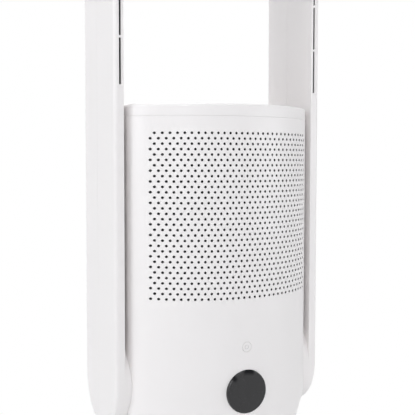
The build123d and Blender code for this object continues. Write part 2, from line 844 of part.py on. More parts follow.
def make_arm_bracket():
    """Oval steel plate on the right side frame that the loop's hub is fixed to."""
    half_y = loop_half_depth - bracket_margin
    half_z = hub_half_z - bracket_margin
    plate = oval_x(half_y, half_z, hub_face_x, hub_face_x + bracket_t, z=hub_z)
    plate -= duct_opening(slip)
    for y in (-arm_screw_y, arm_screw_y):
        for rise in (-arm_screw_rise, arm_screw_rise):
            plate -= rod_x(arm_screw_r, side_flat_x, body_half_x, y, duct_z + rise)
    return plate


def make_arm_screws():
    """Screws that hold both arm brackets to the side frames."""
    face_x = hub_face_x + bracket_t
    screws = []
    for y in (-arm_screw_y, arm_screw_y):
        for rise in (-arm_screw_rise, arm_screw_rise):
            head = rod_x(arm_screw_head_r, face_x, face_x + arm_screw_head_t, y, duct_z + rise)
            shank = rod_x(arm_screw_r, face_x - arm_screw_length, face_x + over, y, duct_z + rise)
            screws += both_sides(head + shank)
    return screws


# ---------------------------------------------------------------- controls
def make_display_lens():
    """Black disc with a bevelled edge and a rim that reaches back to the display board."""
    front = -body_half_y - lens_proud
    disc = rod_y(lens_r, front, front + lens_t, 0, lens_z)
    disc = chamfer(disc.edges().group_by(Axis.Y)[0], lens_bevel)
    rim = rod_y(lens_r, front + lens_t - over, board_front_y, 0, lens_z)
    rim -= rod_y(lens_r - lens_rim_wall, front + lens_t - 2 * over, board_front_y + over, 0, lens_z)
    return disc + rim


def make_display_module():
    """Light guide block of the display, between the lens and its board."""
    front = -body_half_y - lens_proud + lens_t + slip
    return rod_y(lens_r - lens_rim_wall - slip, front, board_front_y, 0, lens_z)


def make_display_board():
    """Round circuit board with two ears."""
    back = board_front_y + board_t
    board = rod_y(lens_r + board_margin, board_front_y, back, 0, lens_z)
    reach = lens_boss_x() + boss_r
    ear = boss_r + board_margin
    board += slab((-reach, reach), (board_front_y, back), (lens_z - ear, lens_z + ear))
    for x in (-lens_boss_x(), lens_boss_x()):
        board -= rod_y(screw_r, board_front_y - over, back + over, x, lens_z)
    return board


def make_key_board():
    """Small circuit board with the switch behind the power key."""
    back = board_front_y + board_t
    reach = key_boss_x() + boss_r
    heights = (key_z - key_board_half_z, key_z + key_board_half_z)
    board = slab((-reach, reach), (board_front_y, back), heights)
    half = switch_size / 2
    board += slab((-half, half), (switch_front_y, board_front_y + over), (key_z - half, key_z + half))
    for x in (-key_boss_x(), key_boss_x()):
        board -= rod_y(screw_r, board_front_y - over, back + over, x, key_z)
    return board


def make_board_screws():
    """Screws of both front boards."""
    back = board_front_y + board_t
    spots = [(-lens_boss_x(), lens_z), (lens_boss_x(), lens_z), (-key_boss_x(), key_z), (key_boss_x(), key_z)]
    screws = []
    for x, z in spots:
        head = rod_y(2 * screw_r, back, back + low_head_t, x, z)
        screws.append(head + rod_y(screw_r, back - board_screw_length, back, x, z))
    return screws


def make_power_key():
    """Round key, flush with the cover, with a flange behind the wall."""
    flange_back = key_flange_y + key_flange_t
    key = rod_y(key_r, -body_half_y, flange_back, 0, key_z)
    return key + rod_y(key_r + key_flange_w, key_flange_y, flange_back, 0, key_z)


def power_board_corners():
    """Screw places of the power board."""
    x = power_board_x / 2 - standoff_r - standoff_inset
    y = power_board_y / 2 - standoff_r - standoff_inset
    return [(sx * x, power_board_centre_y + sy * y) for sx in (-1, 1) for sy in (-1, 1)]


def make_power_board():
    """Mains board on its standoffs, with its larger components."""
    low = tray_top_z + power_board_lift
    top = low + board_t
    half_x = power_board_x / 2
    half_y = power_board_y / 2
    y = power_board_centre_y
    board = slab((-half_x, half_x), (y - half_y, y + half_y), (low, top))
    for across, depth, rise in (transformer, heat_sink):
        board += slab(across, (y + depth[0], y + depth[1]), (top - over, top + rise))
    for x in capacitor_spots:
        board += rod(capacitor_r, top - over, top + capacitor_h, x, y)
    return board


# ---------------------------------------------------------------- base and swivel
def make_base_plate():
    """Bottom plate with foot recesses, the hollow pivot post and the seat of the slide ring."""
    plate = rod(base_r - base_wall - slip, base_plate_z, base_floor_z)
    plate += rod(post_r, base_plate_z, post_top_z)
    seat_z = neck_floor_z - race_gap - race_t
    plate += ring(race_outer_r - race_lip, race_inner_r + race_lip, base_plate_z, seat_z)
    plate -= rod(post_bore_r, base_plate_z + post_floor_t, post_top_z + over)
    depth, width, height = post_notch
    plate -= slab((-width / 2, width / 2), (post_r - depth / 2, post_r + depth / 2),
                  (base_floor_z, base_floor_z + height))
    width, height = race_notch
    plate -= slab((-width / 2, width / 2), (race_inner_r - over, race_outer_r + over),
                  (base_floor_z, base_floor_z + height))
    for x, y in foot_spots():
        plate -= rod(foot_r, base_plate_z - over, base_plate_z + foot_recess, x, y)
    for x, y in swivel_screw_spots():
        plate += rod(boss_r, base_floor_z - over, swivel_ear_z(), x, y)
        plate -= rod(screw_r, base_floor_z, swivel_ear_z() + over, x, y)
    for x, y in base_screw_spots():
        plate -= rod(screw_r, base_plate_z - over, base_floor_z + over, x, y)
    return plate


def foot_spots():
    """Centres of the feet, evenly round the rim."""
    turn = 2 * math.pi / foot_count
    return [(foot_circle_r * math.cos((i + 0.5) * turn), foot_circle_r * math.sin((i + 0.5) * turn))
            for i in range(foot_count)]


def base_screw_spots():
    """Screws that join plate and cover, between the feet and the rim."""
    radius = base_r - base_screw_inset
    angles = [math.radians(angle) for angle in range(0, 360, 60)]
    return [(radius * math.cos(angle), radius * math.sin(angle)) for angle in angles]


def make_rubber_feet():
    """Soft feet in the plate's recesses."""
    return [rod(foot_r - foot_play, 0, base_plate_z + foot_recess, x, y) for x, y in foot_spots()]


def base_profile(inset):
    """Half section of the base cover's dome, drawn in by inset."""
    edge = base_r - inset
    top = base_edge_z - inset
    radius = base_edge_r - inset
    shoulder = edge - radius
    rise = collar_z - inset
    inner = collar_r - over
    start = (inner, base_plate_z - inset)
    line = Polyline(start, (edge, base_plate_z - inset), (edge, top - radius))
    corner = RadiusArc((edge, top - radius), (shoulder, top), -radius)
    middle = ((shoulder + collar_r) / 2, (top + rise) / 2 + dome_bulge)
    dome = ThreePointArc((shoulder, top), middle, (inner, rise))
    close = Line((inner, rise), start)
    return Plane.XZ * make_face([*line.edges(), corner, dome, close])


def make_base_cover():
    """Low dome over the base with a collar around the neck."""
    shell = revolve(base_profile(0), Axis.Z) - revolve(base_profile(base_wall), Axis.Z)
    shell -= rod(base_r + over, 0, base_plate_z + cover_lift)
    shell += ring(collar_r + base_wall, collar_r, collar_z - collar_h, collar_z - over)
    shell -= rod(collar_r - over / 2, 0, collar_z + over)
    shell -= rod_y(gland_r, ballast_outer_r, base_r + over, 0, gland_z)
    for x, y in base_screw_spots():
        shell += rod(boss_r, base_floor_z, base_edge_z - base_wall / 2, x, y)
        shell -= rod(screw_r, base_floor_z - over, base_floor_z + base_screw_reach + tip_room, x, y)
    return shell


def make_base_screws():
    """Screws from below through the base plate into the cover's bosses."""
    tip_z = base_floor_z + base_screw_reach
    return [screw_up(base_plate_z, tip_z, flat_head_t, x, y) for x, y in base_screw_spots()]


def make_ballast_ring():
    """Cast weight on the base plate, with a channel for the cable."""
    low = base_floor_z + slip
    weight = ring(ballast_outer_r, ballast_inner_r, low, low + ballast_t)
    half = cable_channel_w / 2
    channel = slab((-half, half), (post_r, ballast_outer_r + over), (low - over, low + ballast_t + over))
    return weight - channel


def make_slide_ring():
    """Low-friction ring that the turntable runs on."""
    low = neck_floor_z - race_gap - race_t
    return ring(race_outer_r, race_inner_r, low, low + race_t)


def make_turntable():
    """Neck of the tower: floor with a bearing hub, wall and a flange under the tray."""
    table = ring(neck_r, neck_r - neck_wall, neck_floor_z, body_bottom_z)
    table += rod(neck_r, neck_floor_z, neck_floor_z + neck_floor_t)
    table += rod(neck_hub_r, neck_floor_z, body_bottom_z)
    table += ring(turntable_r, neck_r - neck_wall, body_bottom_z - turntable_t, body_bottom_z)
    table -= rod(post_r + running_fit, neck_floor_z - over, body_bottom_z + over)
    for x, y in turntable_screw_spots():
        table -= rod(screw_r, body_bottom_z - turntable_t - over, body_bottom_z + over, x, y)
    return table


def turntable_screw_spots():
    """Screws that join the turntable's flange and the tray."""
    radius = (neck_r + turntable_r) / 2
    angles = [math.radians(angle) for angle in range(30, 360, 60)]
    return [(radius * math.cos(angle), radius * math.sin(angle)) for angle in angles]


def make_turntable_screws():
    """Screws from below the flange into the tray."""
    seat_z = body_bottom_z - turntable_t
    return [screw_up(seat_z, tray_top_z + over, low_head_t, x, y) for x, y in turntable_screw_spots()]


def make_retaining_ring():
    """Clip on the post that keeps the tower on its pivot."""
    low = body_bottom_z + slip
    return ring(post_r + ring_rim_w, post_r, low, low + ring_t)


def gear_teeth(teeth, first, count, thinning):
    """Corner points of straight-flanked spur teeth, counted round from the X axis."""
    pitch_r = gear_module * teeth / 2
    tip_r = pitch_r + tooth_tip * gear_module
    root_r = pitch_r - tooth_root * gear_module
    step = 2 * math.pi / teeth
    half_pitch = step / 4 - thinning / pitch_r / 2
    slope = math.tan(math.radians(pressure_deg))
    points = []
    for index in range(first, first + count):
        middle = index * step
        root = half_pitch + (pitch_r - root_r) * slope / pitch_r
        tip = half_pitch - (tip_r - pitch_r) * slope / pitch_r
        for radius, angle in ((root_r, -root), (pitch_r, -half_pitch), (tip_r, -tip),
                              (tip_r, tip), (pitch_r, half_pitch), (root_r, root)):
            points.append((radius * math.cos(middle + angle), radius * math.sin(middle + angle)))
    return points


def make_gear_sector():
    """Toothed sector under the turntable, in front of the pivot."""
    first = -(sector_cut_teeth // 2)
    teeth = gear_teeth(sector_teeth, first, sector_cut_teeth, gear_backlash)
    fan = Polyline((0, 0), *teeth, close=True)
    sector = extrude(Pos(0, 0, gear_low_z) * Rot(0, 0, -90) * make_face(fan), gear_t)
    bore_r = post_r + gear_bore_play
    sector += ring(neck_hub_r, bore_r, gear_low_z, gear_top_z)
    return sector - rod(bore_r, gear_low_z - over, gear_top_z + over)


def make_swivel_pinion():
    """Pinion with its shaft, in mesh with the sector."""
    teeth = gear_teeth(pinion_teeth, 0, pinion_teeth, gear_backlash)
    turn = 90 + 180 / pinion_teeth
    profile = Rot(0, 0, turn) * make_face(Polyline(*teeth, close=True))
    wheel = extrude(Pos(0, pinion_y, gear_low_z) * profile, gear_t)
    return wheel + rod(pinion_shaft_r, base_floor_z + pinion_shaft_rise, gear_low_z + over, 0, pinion_y)


def make_swivel_motor():
    """Flat geared motor with its output boss off centre and two ears."""
    low = base_floor_z
    top = low + swivel_motor_t
    motor = rod(swivel_motor_r, low, top, 0, swivel_motor_y)
    motor += rod(swivel_boss_r, top - over, top + swivel_boss_t, 0, pinion_y)
    reach = swivel_motor_r + 2 * (boss_r + swivel_ear_margin)
    half = boss_r + swivel_ear_margin
    motor += slab((-reach, reach), (swivel_motor_y - half, swivel_motor_y + half), (swivel_ear_z(), top))
    bore_low_z = base_floor_z + pinion_shaft_rise - over
    motor -= rod(pinion_shaft_r + running_fit, bore_low_z, top + swivel_boss_t + over, 0, pinion_y)
    for x, y in swivel_screw_spots():
        motor -= rod(screw_r, swivel_ear_z() - over, top + over, x, y)
    return motor


def swivel_ear_z():
    """Underside of the swivel motor's ears."""
    return base_floor_z + swivel_motor_t - swivel_ear_t


def swivel_screw_spots():
    """Screws of the swivel motor's ears."""
    x = swivel_motor_r + boss_r + swivel_ear_margin
    return [(-x, swivel_motor_y), (x, swivel_motor_y)]


def make_swivel_screws():
    """Screws that hold the swivel motor."""
    top = base_floor_z + swivel_motor_t
    screws = []
    for x, y in swivel_screw_spots():
        head = rod(2 * screw_r, top, top + flat_head_t, x, y)
        screws.append(head + rod(screw_r, top - swivel_screw_length, top, x, y))
    return screws


def make_cord_gland():
    """Flanged bush for the mains cord in the rear of the base."""
    wall_front = base_r - base_wall
    bush = rod_y(gland_r, wall_front - gland_root, base_r, 0, gland_z)
    bush += rod_y(gland_flange_r, wall_front - gland_flange_t - gland_play, wall_front - gland_play,
                  0, gland_z)
    return bush - rod_y(gland_bore_r, wall_front - gland_root - over, base_r + over, 0, gland_z)


# ---------------------------------------------------------------- all pieces
def make_pieces():
    """Every piece by its name."""
    shell = loop_shell()
    front_arms, front_arch = loop_half(shell, True)
    rear_arms, rear_arch = loop_half(shell, False)
    side_frame = make_side_frame()
    sleeve = make_duct_sleeve()
    seal = make_duct_seal()
    bracket = make_arm_bracket()
    liner = make_nozzle_liner()
    return {
        "base_plate": make_base_plate(),
        "base_cover": make_base_cover(),
        "ballast_ring": make_ballast_ring(),
        "rubber_feet": make_rubber_feet(),
        "base_screws": make_base_screws(),
        "slide_ring": make_slide_ring(),
        "retaining_ring": make_retaining_ring(),
        "swivel_motor": make_swivel_motor(),
        "swivel_screws": make_swivel_screws(),
        "swivel_pinion": make_swivel_pinion(),
        "cord_gland": make_cord_gland(),
        "turntable": make_turntable(),
        "turntable_screws": make_turntable_screws(),
        "gear_sector": make_gear_sector(),
        "bottom_tray": make_bottom_tray(),
        "side_frame_right": side_frame,
        "side_frame_left": mirror(side_frame, Plane.YZ),
        "front_cover": make_front_cover(),
        "rear_lower_panel": make_rear_lower_panel(),
        "rear_filter_cover": make_rear_filter_cover(),
        "cover_magnets": make_cover_magnets(),
        "strike_plates": make_strike_plates(),
        "top_cap": make_top_cap(),
        "cap_screws": make_cap_screws(),
        "top_deck": make_top_deck(),
        "filter_deck": make_filter_deck(),
        "filter_media": make_filter_media(),
        "carbon_core": make_carbon_core(),
        "filter_cap_low": make_filter_cap(filter_low_z),
        "filter_cap_high": make_filter_cap(media_high_z),
        "filter_gasket": make_filter_gasket(),
        "fan_housing": make_fan_housing(),
        "duct_seal_right": seal,
        "duct_seal_left": mirror(seal, Plane.YZ),
        "duct_sleeve_right": sleeve,
        "duct_sleeve_left": mirror(sleeve, Plane.YZ),
        "motor_mount": make_motor_mount(),
        "damper_ring": make_damper_ring(),
        "fan_motor": make_fan_motor(),
        "motor_screws": make_motor_screws(),
        "motor_shaft": make_motor_shaft(),
        "impeller": make_impeller(),
        "impeller_nut": make_impeller_nut(),
        "loop_front_shell": front_arms,
        "loop_rear_shell": rear_arms,
        "loop_front_arch": front_arch,
        "loop_rear_arch": rear_arch,
        "nozzle_liner_right": liner,
        "nozzle_liner_left": mirror(liner, Plane.YZ),
        "arm_bracket_right": bracket,
        "arm_bracket_left": mirror(bracket, Plane.YZ),
        "arm_screws": make_arm_screws(),
        "display_lens": make_display_lens(),
        "display_module": make_display_module(),
        "display_board": make_display_board(),
        "key_board": make_key_board(),
        "board_screws": make_board_screws(),
        "power_key": make_power_key(),
        "power_board": make_power_board(),
    }


def write_pieces():
    """Write each piece to its own STEP file, a set of like pieces as one compound."""
    os.makedirs("parts", exist_ok=True)
    for name, piece in make_pieces().items():
        shape = Compound(children=piece) if isinstance(piece, list) else piece
        export_step(shape, f"parts/{name}.step")


write_pieces()
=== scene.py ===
"""Dressed model of a bladeless tower air purifier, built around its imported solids.

Each class below makes and dresses one sub-assembly. Lengths in the classes are millimetres in
the frame of the solids: +Z up from the floor, the display towards -Y, the swivel axis at 0, 0.
"""

from __future__ import annotations

import json
import logging
import math
from dataclasses import dataclass, field
from enum import Enum
from typing import Callable, Iterable, Sequence

import bmesh
import bpy
from mathutils import Matrix, Vector

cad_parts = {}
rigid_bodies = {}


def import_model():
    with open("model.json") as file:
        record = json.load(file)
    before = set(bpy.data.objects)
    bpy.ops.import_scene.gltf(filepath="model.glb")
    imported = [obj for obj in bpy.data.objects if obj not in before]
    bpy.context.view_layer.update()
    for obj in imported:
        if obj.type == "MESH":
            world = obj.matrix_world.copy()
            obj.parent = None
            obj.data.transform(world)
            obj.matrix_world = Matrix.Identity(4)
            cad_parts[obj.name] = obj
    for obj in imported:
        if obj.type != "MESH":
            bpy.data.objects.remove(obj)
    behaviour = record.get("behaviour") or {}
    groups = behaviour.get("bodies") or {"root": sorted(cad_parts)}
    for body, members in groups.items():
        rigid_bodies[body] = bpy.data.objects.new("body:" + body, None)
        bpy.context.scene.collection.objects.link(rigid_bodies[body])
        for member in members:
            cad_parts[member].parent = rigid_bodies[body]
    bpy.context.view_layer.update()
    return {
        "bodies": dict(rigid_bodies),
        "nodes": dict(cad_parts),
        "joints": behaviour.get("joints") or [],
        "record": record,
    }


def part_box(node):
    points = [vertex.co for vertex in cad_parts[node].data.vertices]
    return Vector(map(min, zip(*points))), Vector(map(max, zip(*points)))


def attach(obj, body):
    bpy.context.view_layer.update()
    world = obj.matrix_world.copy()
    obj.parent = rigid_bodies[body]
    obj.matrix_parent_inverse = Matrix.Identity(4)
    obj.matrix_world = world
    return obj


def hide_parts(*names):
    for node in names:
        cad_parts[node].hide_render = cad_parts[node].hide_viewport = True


LOG = logging.getLogger("air_purifier")
MM = 0.001
Pair = tuple[float, float]
Triple = tuple[float, float, float]
Spot = Pair
Point = Triple
Colour = Triple


# ------------------------------------------------------------------ node helpers
class Tree:
    """Adds nodes to one node tree and joins them."""

    def __init__(self, tree: bpy.types.NodeTree) -> None:
        """Keeps the tree that the nodes go into."""
        self.tree = tree

    def add(self, kind: str, values: dict[str | int, object] | None = None,
            **settings: object) -> bpy.types.Node:
        """Adds a node.

        Args:
            kind: The node's type name.
            values: For each input, by name or number, a value or the socket that feeds it.
            settings: Properties of the node itself.

        Returns:
            The new node.
        """
        node = self.tree.nodes.new(kind)
        for key, value in settings.items():
            setattr(node, key, value)
        for key, value in (values or {}).items():
            if isinstance(value, bpy.types.NodeSocket):
                self.tree.links.new(value, node.inputs[key])
            else:
                node.inputs[key].default_value = value
        return node

    def math(self, operation: str, *values: object) -> bpy.types.NodeSocket:
        """Adds a Math node over sockets or numbers.

        Args:
            operation: Name of the operation, such as "MULTIPLY".
            values: Sockets or numbers, in order.

        Returns:
            The result's socket.
        """
        node = self.add("ShaderNodeMath", dict(enumerate(values)), operation=operation)
        return node.outputs[0]

    def ramp(self, value: object, low: float, high: float, start: float, end: float) -> bpy.types.NodeSocket:
        """Maps a value from one span to another, clamped at both ends.

        Args:
            value: The socket that is read.
            low: Value at which the result is start.
            high: Value at which the result is end.
            start: Result at low.
            end: Result at high.

        Returns:
            The result's socket.
        """
        names = ("From Min", "From Max", "To Min", "To Max")
        values = dict(zip(names, (low, high, start, end)))
        node = self.add("ShaderNodeMapRange", {"Value": value, **values}, clamp=True)
        return node.outputs["Result"]

    def mix(self, share: object, first: object, second: object) -> bpy.types.NodeSocket:
        """Mixes two colours.

        Args:
            share: How much of the second colour is used.
            first: A colour or its socket.
            second: A colour or its socket.

        Returns:
            The mixed colour's socket.
        """
        colours = [c if isinstance(c, bpy.types.NodeSocket) else (*c, 1.0) for c in (first, second)]
        node = self.add("ShaderNodeMix", {"Factor": share, 6: colours[0], 7: colours[1]}, data_type="RGBA")
        return node.outputs[2]

    def vector(self, **parts: object) -> bpy.types.NodeSocket:
        """Makes a vector of numbers or sockets, given as X, Y and Z."""
        return self.add("ShaderNodeCombineXYZ", parts).outputs[0]

    def length(self, vector: object) -> bpy.types.NodeSocket:
        """Gives the length of a vector."""
        return self.add("ShaderNodeVectorMath", {0: vector}, operation="LENGTH").outputs["Value"]

    def place(self) -> bpy.types.NodeSocket:
        """Gives the object coordinates."""
        return self.add("ShaderNodeTexCoord").outputs["Object"]

    def noise(self, place: object, scale: object, detail: float,
              roughness: float = 0.5) -> bpy.types.NodeSocket:
        """Adds a noise texture.

        Args:
            place: Socket with the coordinates.
            scale: Features for each metre, as a number or socket.
            detail: Number of finer layers.
            roughness: Weight of the finer layers.

        Returns:
            The noise, from 0 to 1.
        """
        values = {"Vector": place, "Scale": scale, "Detail": detail, "Roughness": roughness}
        return self.add("ShaderNodeTexNoise", values).outputs["Fac"]


def blank_tree(owner: bpy.types.Material | bpy.types.World) -> Tree:
    """Gives a material or world an empty node tree.

    Args:
        owner: The material or world.

    Returns:
        Its tree.
    """
    owner.use_nodes = True
    owner.node_tree.nodes.clear()
    return Tree(owner.node_tree)


# ------------------------------------------------------------------ finishes
class Surface(Enum):
    """Kinds of surface that a finish can have."""

    MOULDED = "moulded skin"
    PLATED = "plated metal"
    CAST = "cast metal"
    PAPER = "pressed fibre"
    FOAM = "open foam"
    BOARD = "printed board"


class SurfaceGroups:
    """Shader groups shared by the materials, each built once.

    Every group takes Colour, Variation, Scale, Height, Roughness and Spread, and puts out the
    Colour, Roughness and Normal that change over the surface.

    Attributes:
        FLOATS: Names of the number inputs.
        SOCKETS: Name, side and kind of each socket of a group.
        GRAINS: For a kind of surface its grain's stretch along Z, detail and roughness.
        EDGE_R: Reach of the edge mask on each side of an edge, in metres.
        EDGE_TURN: Cosines of the turn at which the edge mask starts and is full.
        EDGE_PATCHES: Scale and detail of the patches that break the edge mask up.
        BROAD: Scale, detail and roughness of the broad patches.
        FADED: Colour towards which broad patches of a surface turn.
        PORE_SHADE: Colour of the painted shade at the bottom of pores.
        TRACK: Colour of a board's tracks under the mask.
    """

    FLOATS = ("Variation", "Scale", "Height", "Roughness", "Spread")
    SOCKETS = (("Colour", "INPUT", "Color"), *((name, "INPUT", "Float") for name in FLOATS),
               ("Colour", "OUTPUT", "Color"), ("Roughness", "OUTPUT", "Float"),
               ("Normal", "OUTPUT", "Vector"))
    GRAINS = {Surface.PLATED: (0.06, 5.0, 0.5), Surface.PAPER: (0.3, 6.0, 0.7),
              Surface.CAST: (1.0, 6.0, 0.5)}
    EDGE_R = 0.6 * MM
    EDGE_TURN = (0.97, 0.80)
    EDGE_PATCHES = (45.0, 3.0)
    BROAD = (7.0, 4.0, 0.55)
    FADED = (0.55, 0.539, 0.517)
    PORE_SHADE = (0.02, 0.02, 0.02)
    TRACK = (0.10, 0.42, 0.16)

    def __init__(self) -> None:
        """Starts with no group built."""
        self.made: dict[Surface, bpy.types.NodeTree] = {}
        self.bevel: bpy.types.NodeTree | None = None

    def get(self, surface: Surface) -> bpy.types.NodeTree:
        """Gives the group for a kind of surface, building it the first time.

        Args:
            surface: The kind of surface.

        Returns:
            The shader group.
        """
        if surface not in self.made:
            self.made[surface] = self.build(surface)
        return self.made[surface]

    def edge_group(self) -> bpy.types.NodeTree:
        """Gives the group that masks the lightened edges, partly worn edges and partly a painted edge
        highlight.

        Returns:
            A group with a Radius input and a Mask output, 1 on sharp edges.
        """
        if self.bevel is None:
            group = bpy.data.node_groups.new("rubbed edges", "ShaderNodeTree")
            radius = group.interface.new_socket("Radius", in_out="INPUT", socket_type="NodeSocketFloat")
            radius.default_value = self.EDGE_R
            group.interface.new_socket("Mask", in_out="OUTPUT", socket_type="NodeSocketFloat")
            tree = Tree(group)
            given = tree.add("NodeGroupInput")
            soft = tree.add("ShaderNodeBevel", {"Radius": given.outputs["Radius"]}, samples=4)
            flat = tree.add("ShaderNodeNewGeometry")
            dot = tree.add("ShaderNodeVectorMath", {0: soft.outputs[0], 1: flat.outputs["Normal"]},
                           operation="DOT_PRODUCT")
            # Mask of the edges that are lightened as worn edges and as a painted edge highlight.
            edge = tree.ramp(dot.outputs["Value"], *self.EDGE_TURN, 0.0, 1.0)
            patches = tree.noise(tree.place(), *self.EDGE_PATCHES)
            broken = tree.ramp(patches, 0.38, 0.66, 0.25, 1.0)
            tree.add("NodeGroupOutput", {"Mask": tree.math("MULTIPLY", edge, broken)})
            self.bevel = group
        return self.bevel

    def build(self, surface: Surface) -> bpy.types.NodeTree:
        """Builds one surface group.

        Args:
            surface: The kind of surface.

        Returns:
            The shader group.
        """
        group = bpy.data.node_groups.new(surface.value, "ShaderNodeTree")
        for name, way, kind in self.SOCKETS:
            group.interface.new_socket(name, in_out=way, socket_type="NodeSocket" + kind)
        tree = Tree(group)
        given = tree.add("NodeGroupInput").outputs
        place = tree.place()
        broad = tree.noise(place, *self.BROAD)
        height = self.relief(tree, surface, place, given["Scale"])
        shade = tree.math("MULTIPLY", tree.ramp(broad, 0.3, 0.7, 0.0, 1.0), given["Variation"])
        colour = tree.mix(shade, given["Colour"], self.FADED)
        if surface is Surface.BOARD:
            colour = self.tracks(tree, place, colour)
        elif surface in (Surface.CAST, Surface.FOAM, Surface.PAPER):
            # Painted shade: the low points of the relief are darkened towards near black.
            pore_shade = tree.math("MULTIPLY", tree.ramp(height, 0.45, 0.1, 0.0, 1.0), given["Variation"])
            colour = tree.mix(pore_shade, colour, self.PORE_SHADE)
        swing = tree.math("MULTIPLY", tree.math("SUBTRACT", broad, 0.5), given["Spread"])
        bump = tree.add("ShaderNodeBump", {"Height": height, "Distance": given["Height"], "Strength": 1.0})
        tree.add("NodeGroupOutput", {"Colour": colour, "Normal": bump.outputs[0],
                                     "Roughness": tree.math("ADD", given["Roughness"], swing)})
        return group

    def relief(self, tree: Tree, surface: Surface, place: object, scale: object) -> bpy.types.NodeSocket:
        """Makes the fine relief of a surface.

        Args:
            tree: The group's tree.
            surface: The kind of surface.
            place: Socket with the object coordinates.
            scale: Socket with the scale of the grain, in features for each metre.

        Returns:
            A height from 0 to 1.
        """
        if surface is Surface.FOAM:
            cells = tree.add("ShaderNodeTexVoronoi", {"Vector": place, "Scale": scale},
                             feature="SMOOTH_F1")
            return cells.outputs["Distance"]
        stretch, detail, roughness = self.GRAINS.get(surface, (1.0, 2.0, 0.5))
        if stretch < 1.0:
            drawn = tree.add("ShaderNodeMapping", {"Vector": place, "Scale": (1.0, 1.0, stretch)})
            place = drawn.outputs[0]
        return tree.noise(place, scale, detail, roughness)

    def tracks(self, tree: Tree, place: object, colour: object) -> bpy.types.NodeSocket:
        """Lays copper tracks under a board's solder mask.

        Args:
            tree: The group's tree.
            place: Socket with the object coordinates.
            colour: Socket with the mask's colour.

        Returns:
            The colour with the tracks.
        """
        bricks = tree.add("ShaderNodeTexBrick", {"Vector": place, "Scale": 90.0, "Mortar Size": 0.04,
                                                 "Brick Width": 0.9, "Row Height": 0.22})
        return tree.mix(tree.math("MULTIPLY", bricks.outputs["Fac"], 0.6), colour, self.TRACK)


@dataclass(frozen=True)
class Finish:
    """How one material of the record looks.

    Attributes:
        slot: Name of the record's material slot.
        surface: Kind of surface.
        colour: Base colour, linear.
        roughness: Middle of the roughness.
        spread: How far the roughness swings over the surface.
        scale: Grain features for each metre.
        height: Height of the grain in millimetres.
        variation: How strongly the colour varies.
        metallic: 1 for bare metal.
        coat: Strength of a clear coat.
        specular: Strength of the shine under the coat.
        wear_and_highlight: How strongly the edges are lightened, partly as worn edges and partly as a painted
            edge highlight.
        COAT_ROUGHNESS: Roughness of every clear coat.
    """

    slot: str
    surface: Surface
    colour: Colour
    roughness: float
    spread: float = 0.08
    scale: float = 900.0
    height: float = 0.01
    variation: float = 0.02
    metallic: float = 0.0
    coat: float = 0.0
    specular: float = 0.5
    wear_and_highlight: float = 0.0

    COAT_ROUGHNESS = 0.06

    @property
    def worn_and_highlit(self) -> Colour:
        """Lighter colour of the edges, partly worn edges and partly a painted edge highlight."""
        return tuple(min(1.0, 0.12 + 1.15 * part) for part in self.colour)

    def build(self, groups: SurfaceGroups) -> bpy.types.Material:
        """Builds the material.

        Args:
            groups: The shared shader groups.

        Returns:
            The new material.
        """
        material = bpy.data.materials.new(self.slot + "_finish")
        tree = blank_tree(material)
        skin = tree.add("ShaderNodeGroup", node_tree=groups.get(self.surface))
        values = (self.variation, self.scale, self.height * MM, self.roughness, self.spread)
        for name, value in zip(SurfaceGroups.FLOATS, values):
            skin.inputs[name].default_value = value
        skin.inputs["Colour"].default_value = (*self.colour, 1.0)
        colour = skin.outputs["Colour"]
        # Edges lightened: partly worn edges, partly a painted edge highlight.
        if self.wear_and_highlight:
            edges = tree.add("ShaderNodeGroup", node_tree=groups.edge_group())
            share = tree.math("MULTIPLY", edges.outputs["Mask"], self.wear_and_highlight)
            colour = tree.mix(share, colour, self.worn_and_highlit)
        shader = tree.add("ShaderNodeBsdfPrincipled", {
            "Base Color": colour, "Roughness": skin.outputs["Roughness"],
            "Normal": skin.outputs["Normal"], "Metallic": self.metallic,
            "Specular IOR Level": self.specular, "Coat Weight": self.coat,
            "Coat Roughness": self.COAT_ROUGHNESS})
        tree.add("ShaderNodeOutputMaterial", {"Surface": shader.outputs[0]})
        return material


FINISHES = (
    Finish("gloss_white", Surface.MOULDED, (0.905, 0.876, 0.868), 0.34, 0.08, 1100.0, 0.006, 0.012),
    Finish("white_frame", Surface.MOULDED, (0.89, 0.862, 0.854), 0.38, 0.08, 1100.0, 0.006, 0.012),
    Finish("lens_black", Surface.MOULDED, (0.012, 0.012, 0.0135), 0.08, 0.04, 140.0, 0.002, 0.01, coat=1.0,
           specular=0.0),
    Finish("grey_plastic", Surface.MOULDED, (0.52, 0.52, 0.51), 0.55, 0.12, 700.0, 0.03, 0.06, wear_and_highlight=0.3),
    Finish("dark_plastic", Surface.MOULDED, (0.045, 0.045, 0.047), 0.5, 0.12, 700.0, 0.03, 0.05, wear_and_highlight=0.3),
    Finish("acetal", Surface.MOULDED, (0.80, 0.79, 0.74), 0.38, 0.1, 400.0, 0.01, 0.04),
    Finish("cast_iron", Surface.CAST, (0.07, 0.07, 0.072), 0.62, 0.2, 260.0, 0.25, 0.35, wear_and_highlight=0.5),
    Finish("rubber", Surface.MOULDED, (0.03, 0.03, 0.03), 0.8, 0.1, 900.0, 0.04, 0.12),
    Finish("foam", Surface.FOAM, (0.022, 0.022, 0.023), 0.95, 0.05, 900.0, 0.5, 0.04, specular=0.1),
    Finish("filter_paper", Surface.PAPER, (0.91, 0.905, 0.885), 0.92, 0.05, 1400.0, 0.12, 0.06),
    Finish("zinc_steel", Surface.PLATED, (0.60, 0.60, 0.58), 0.36, 0.22, 2200.0, 0.01, 0.10, metallic=1.0,
           wear_and_highlight=0.3),
    Finish("motor_can", Surface.MOULDED, (0.05, 0.05, 0.055), 0.42, 0.12, 1300.0, 0.02, 0.05, coat=0.2,
           wear_and_highlight=0.4),
    Finish("circuit_board", Surface.BOARD, (0.012, 0.13, 0.045), 0.42, 0.12, 1200.0, 0.02, 0.05, coat=0.4),
)


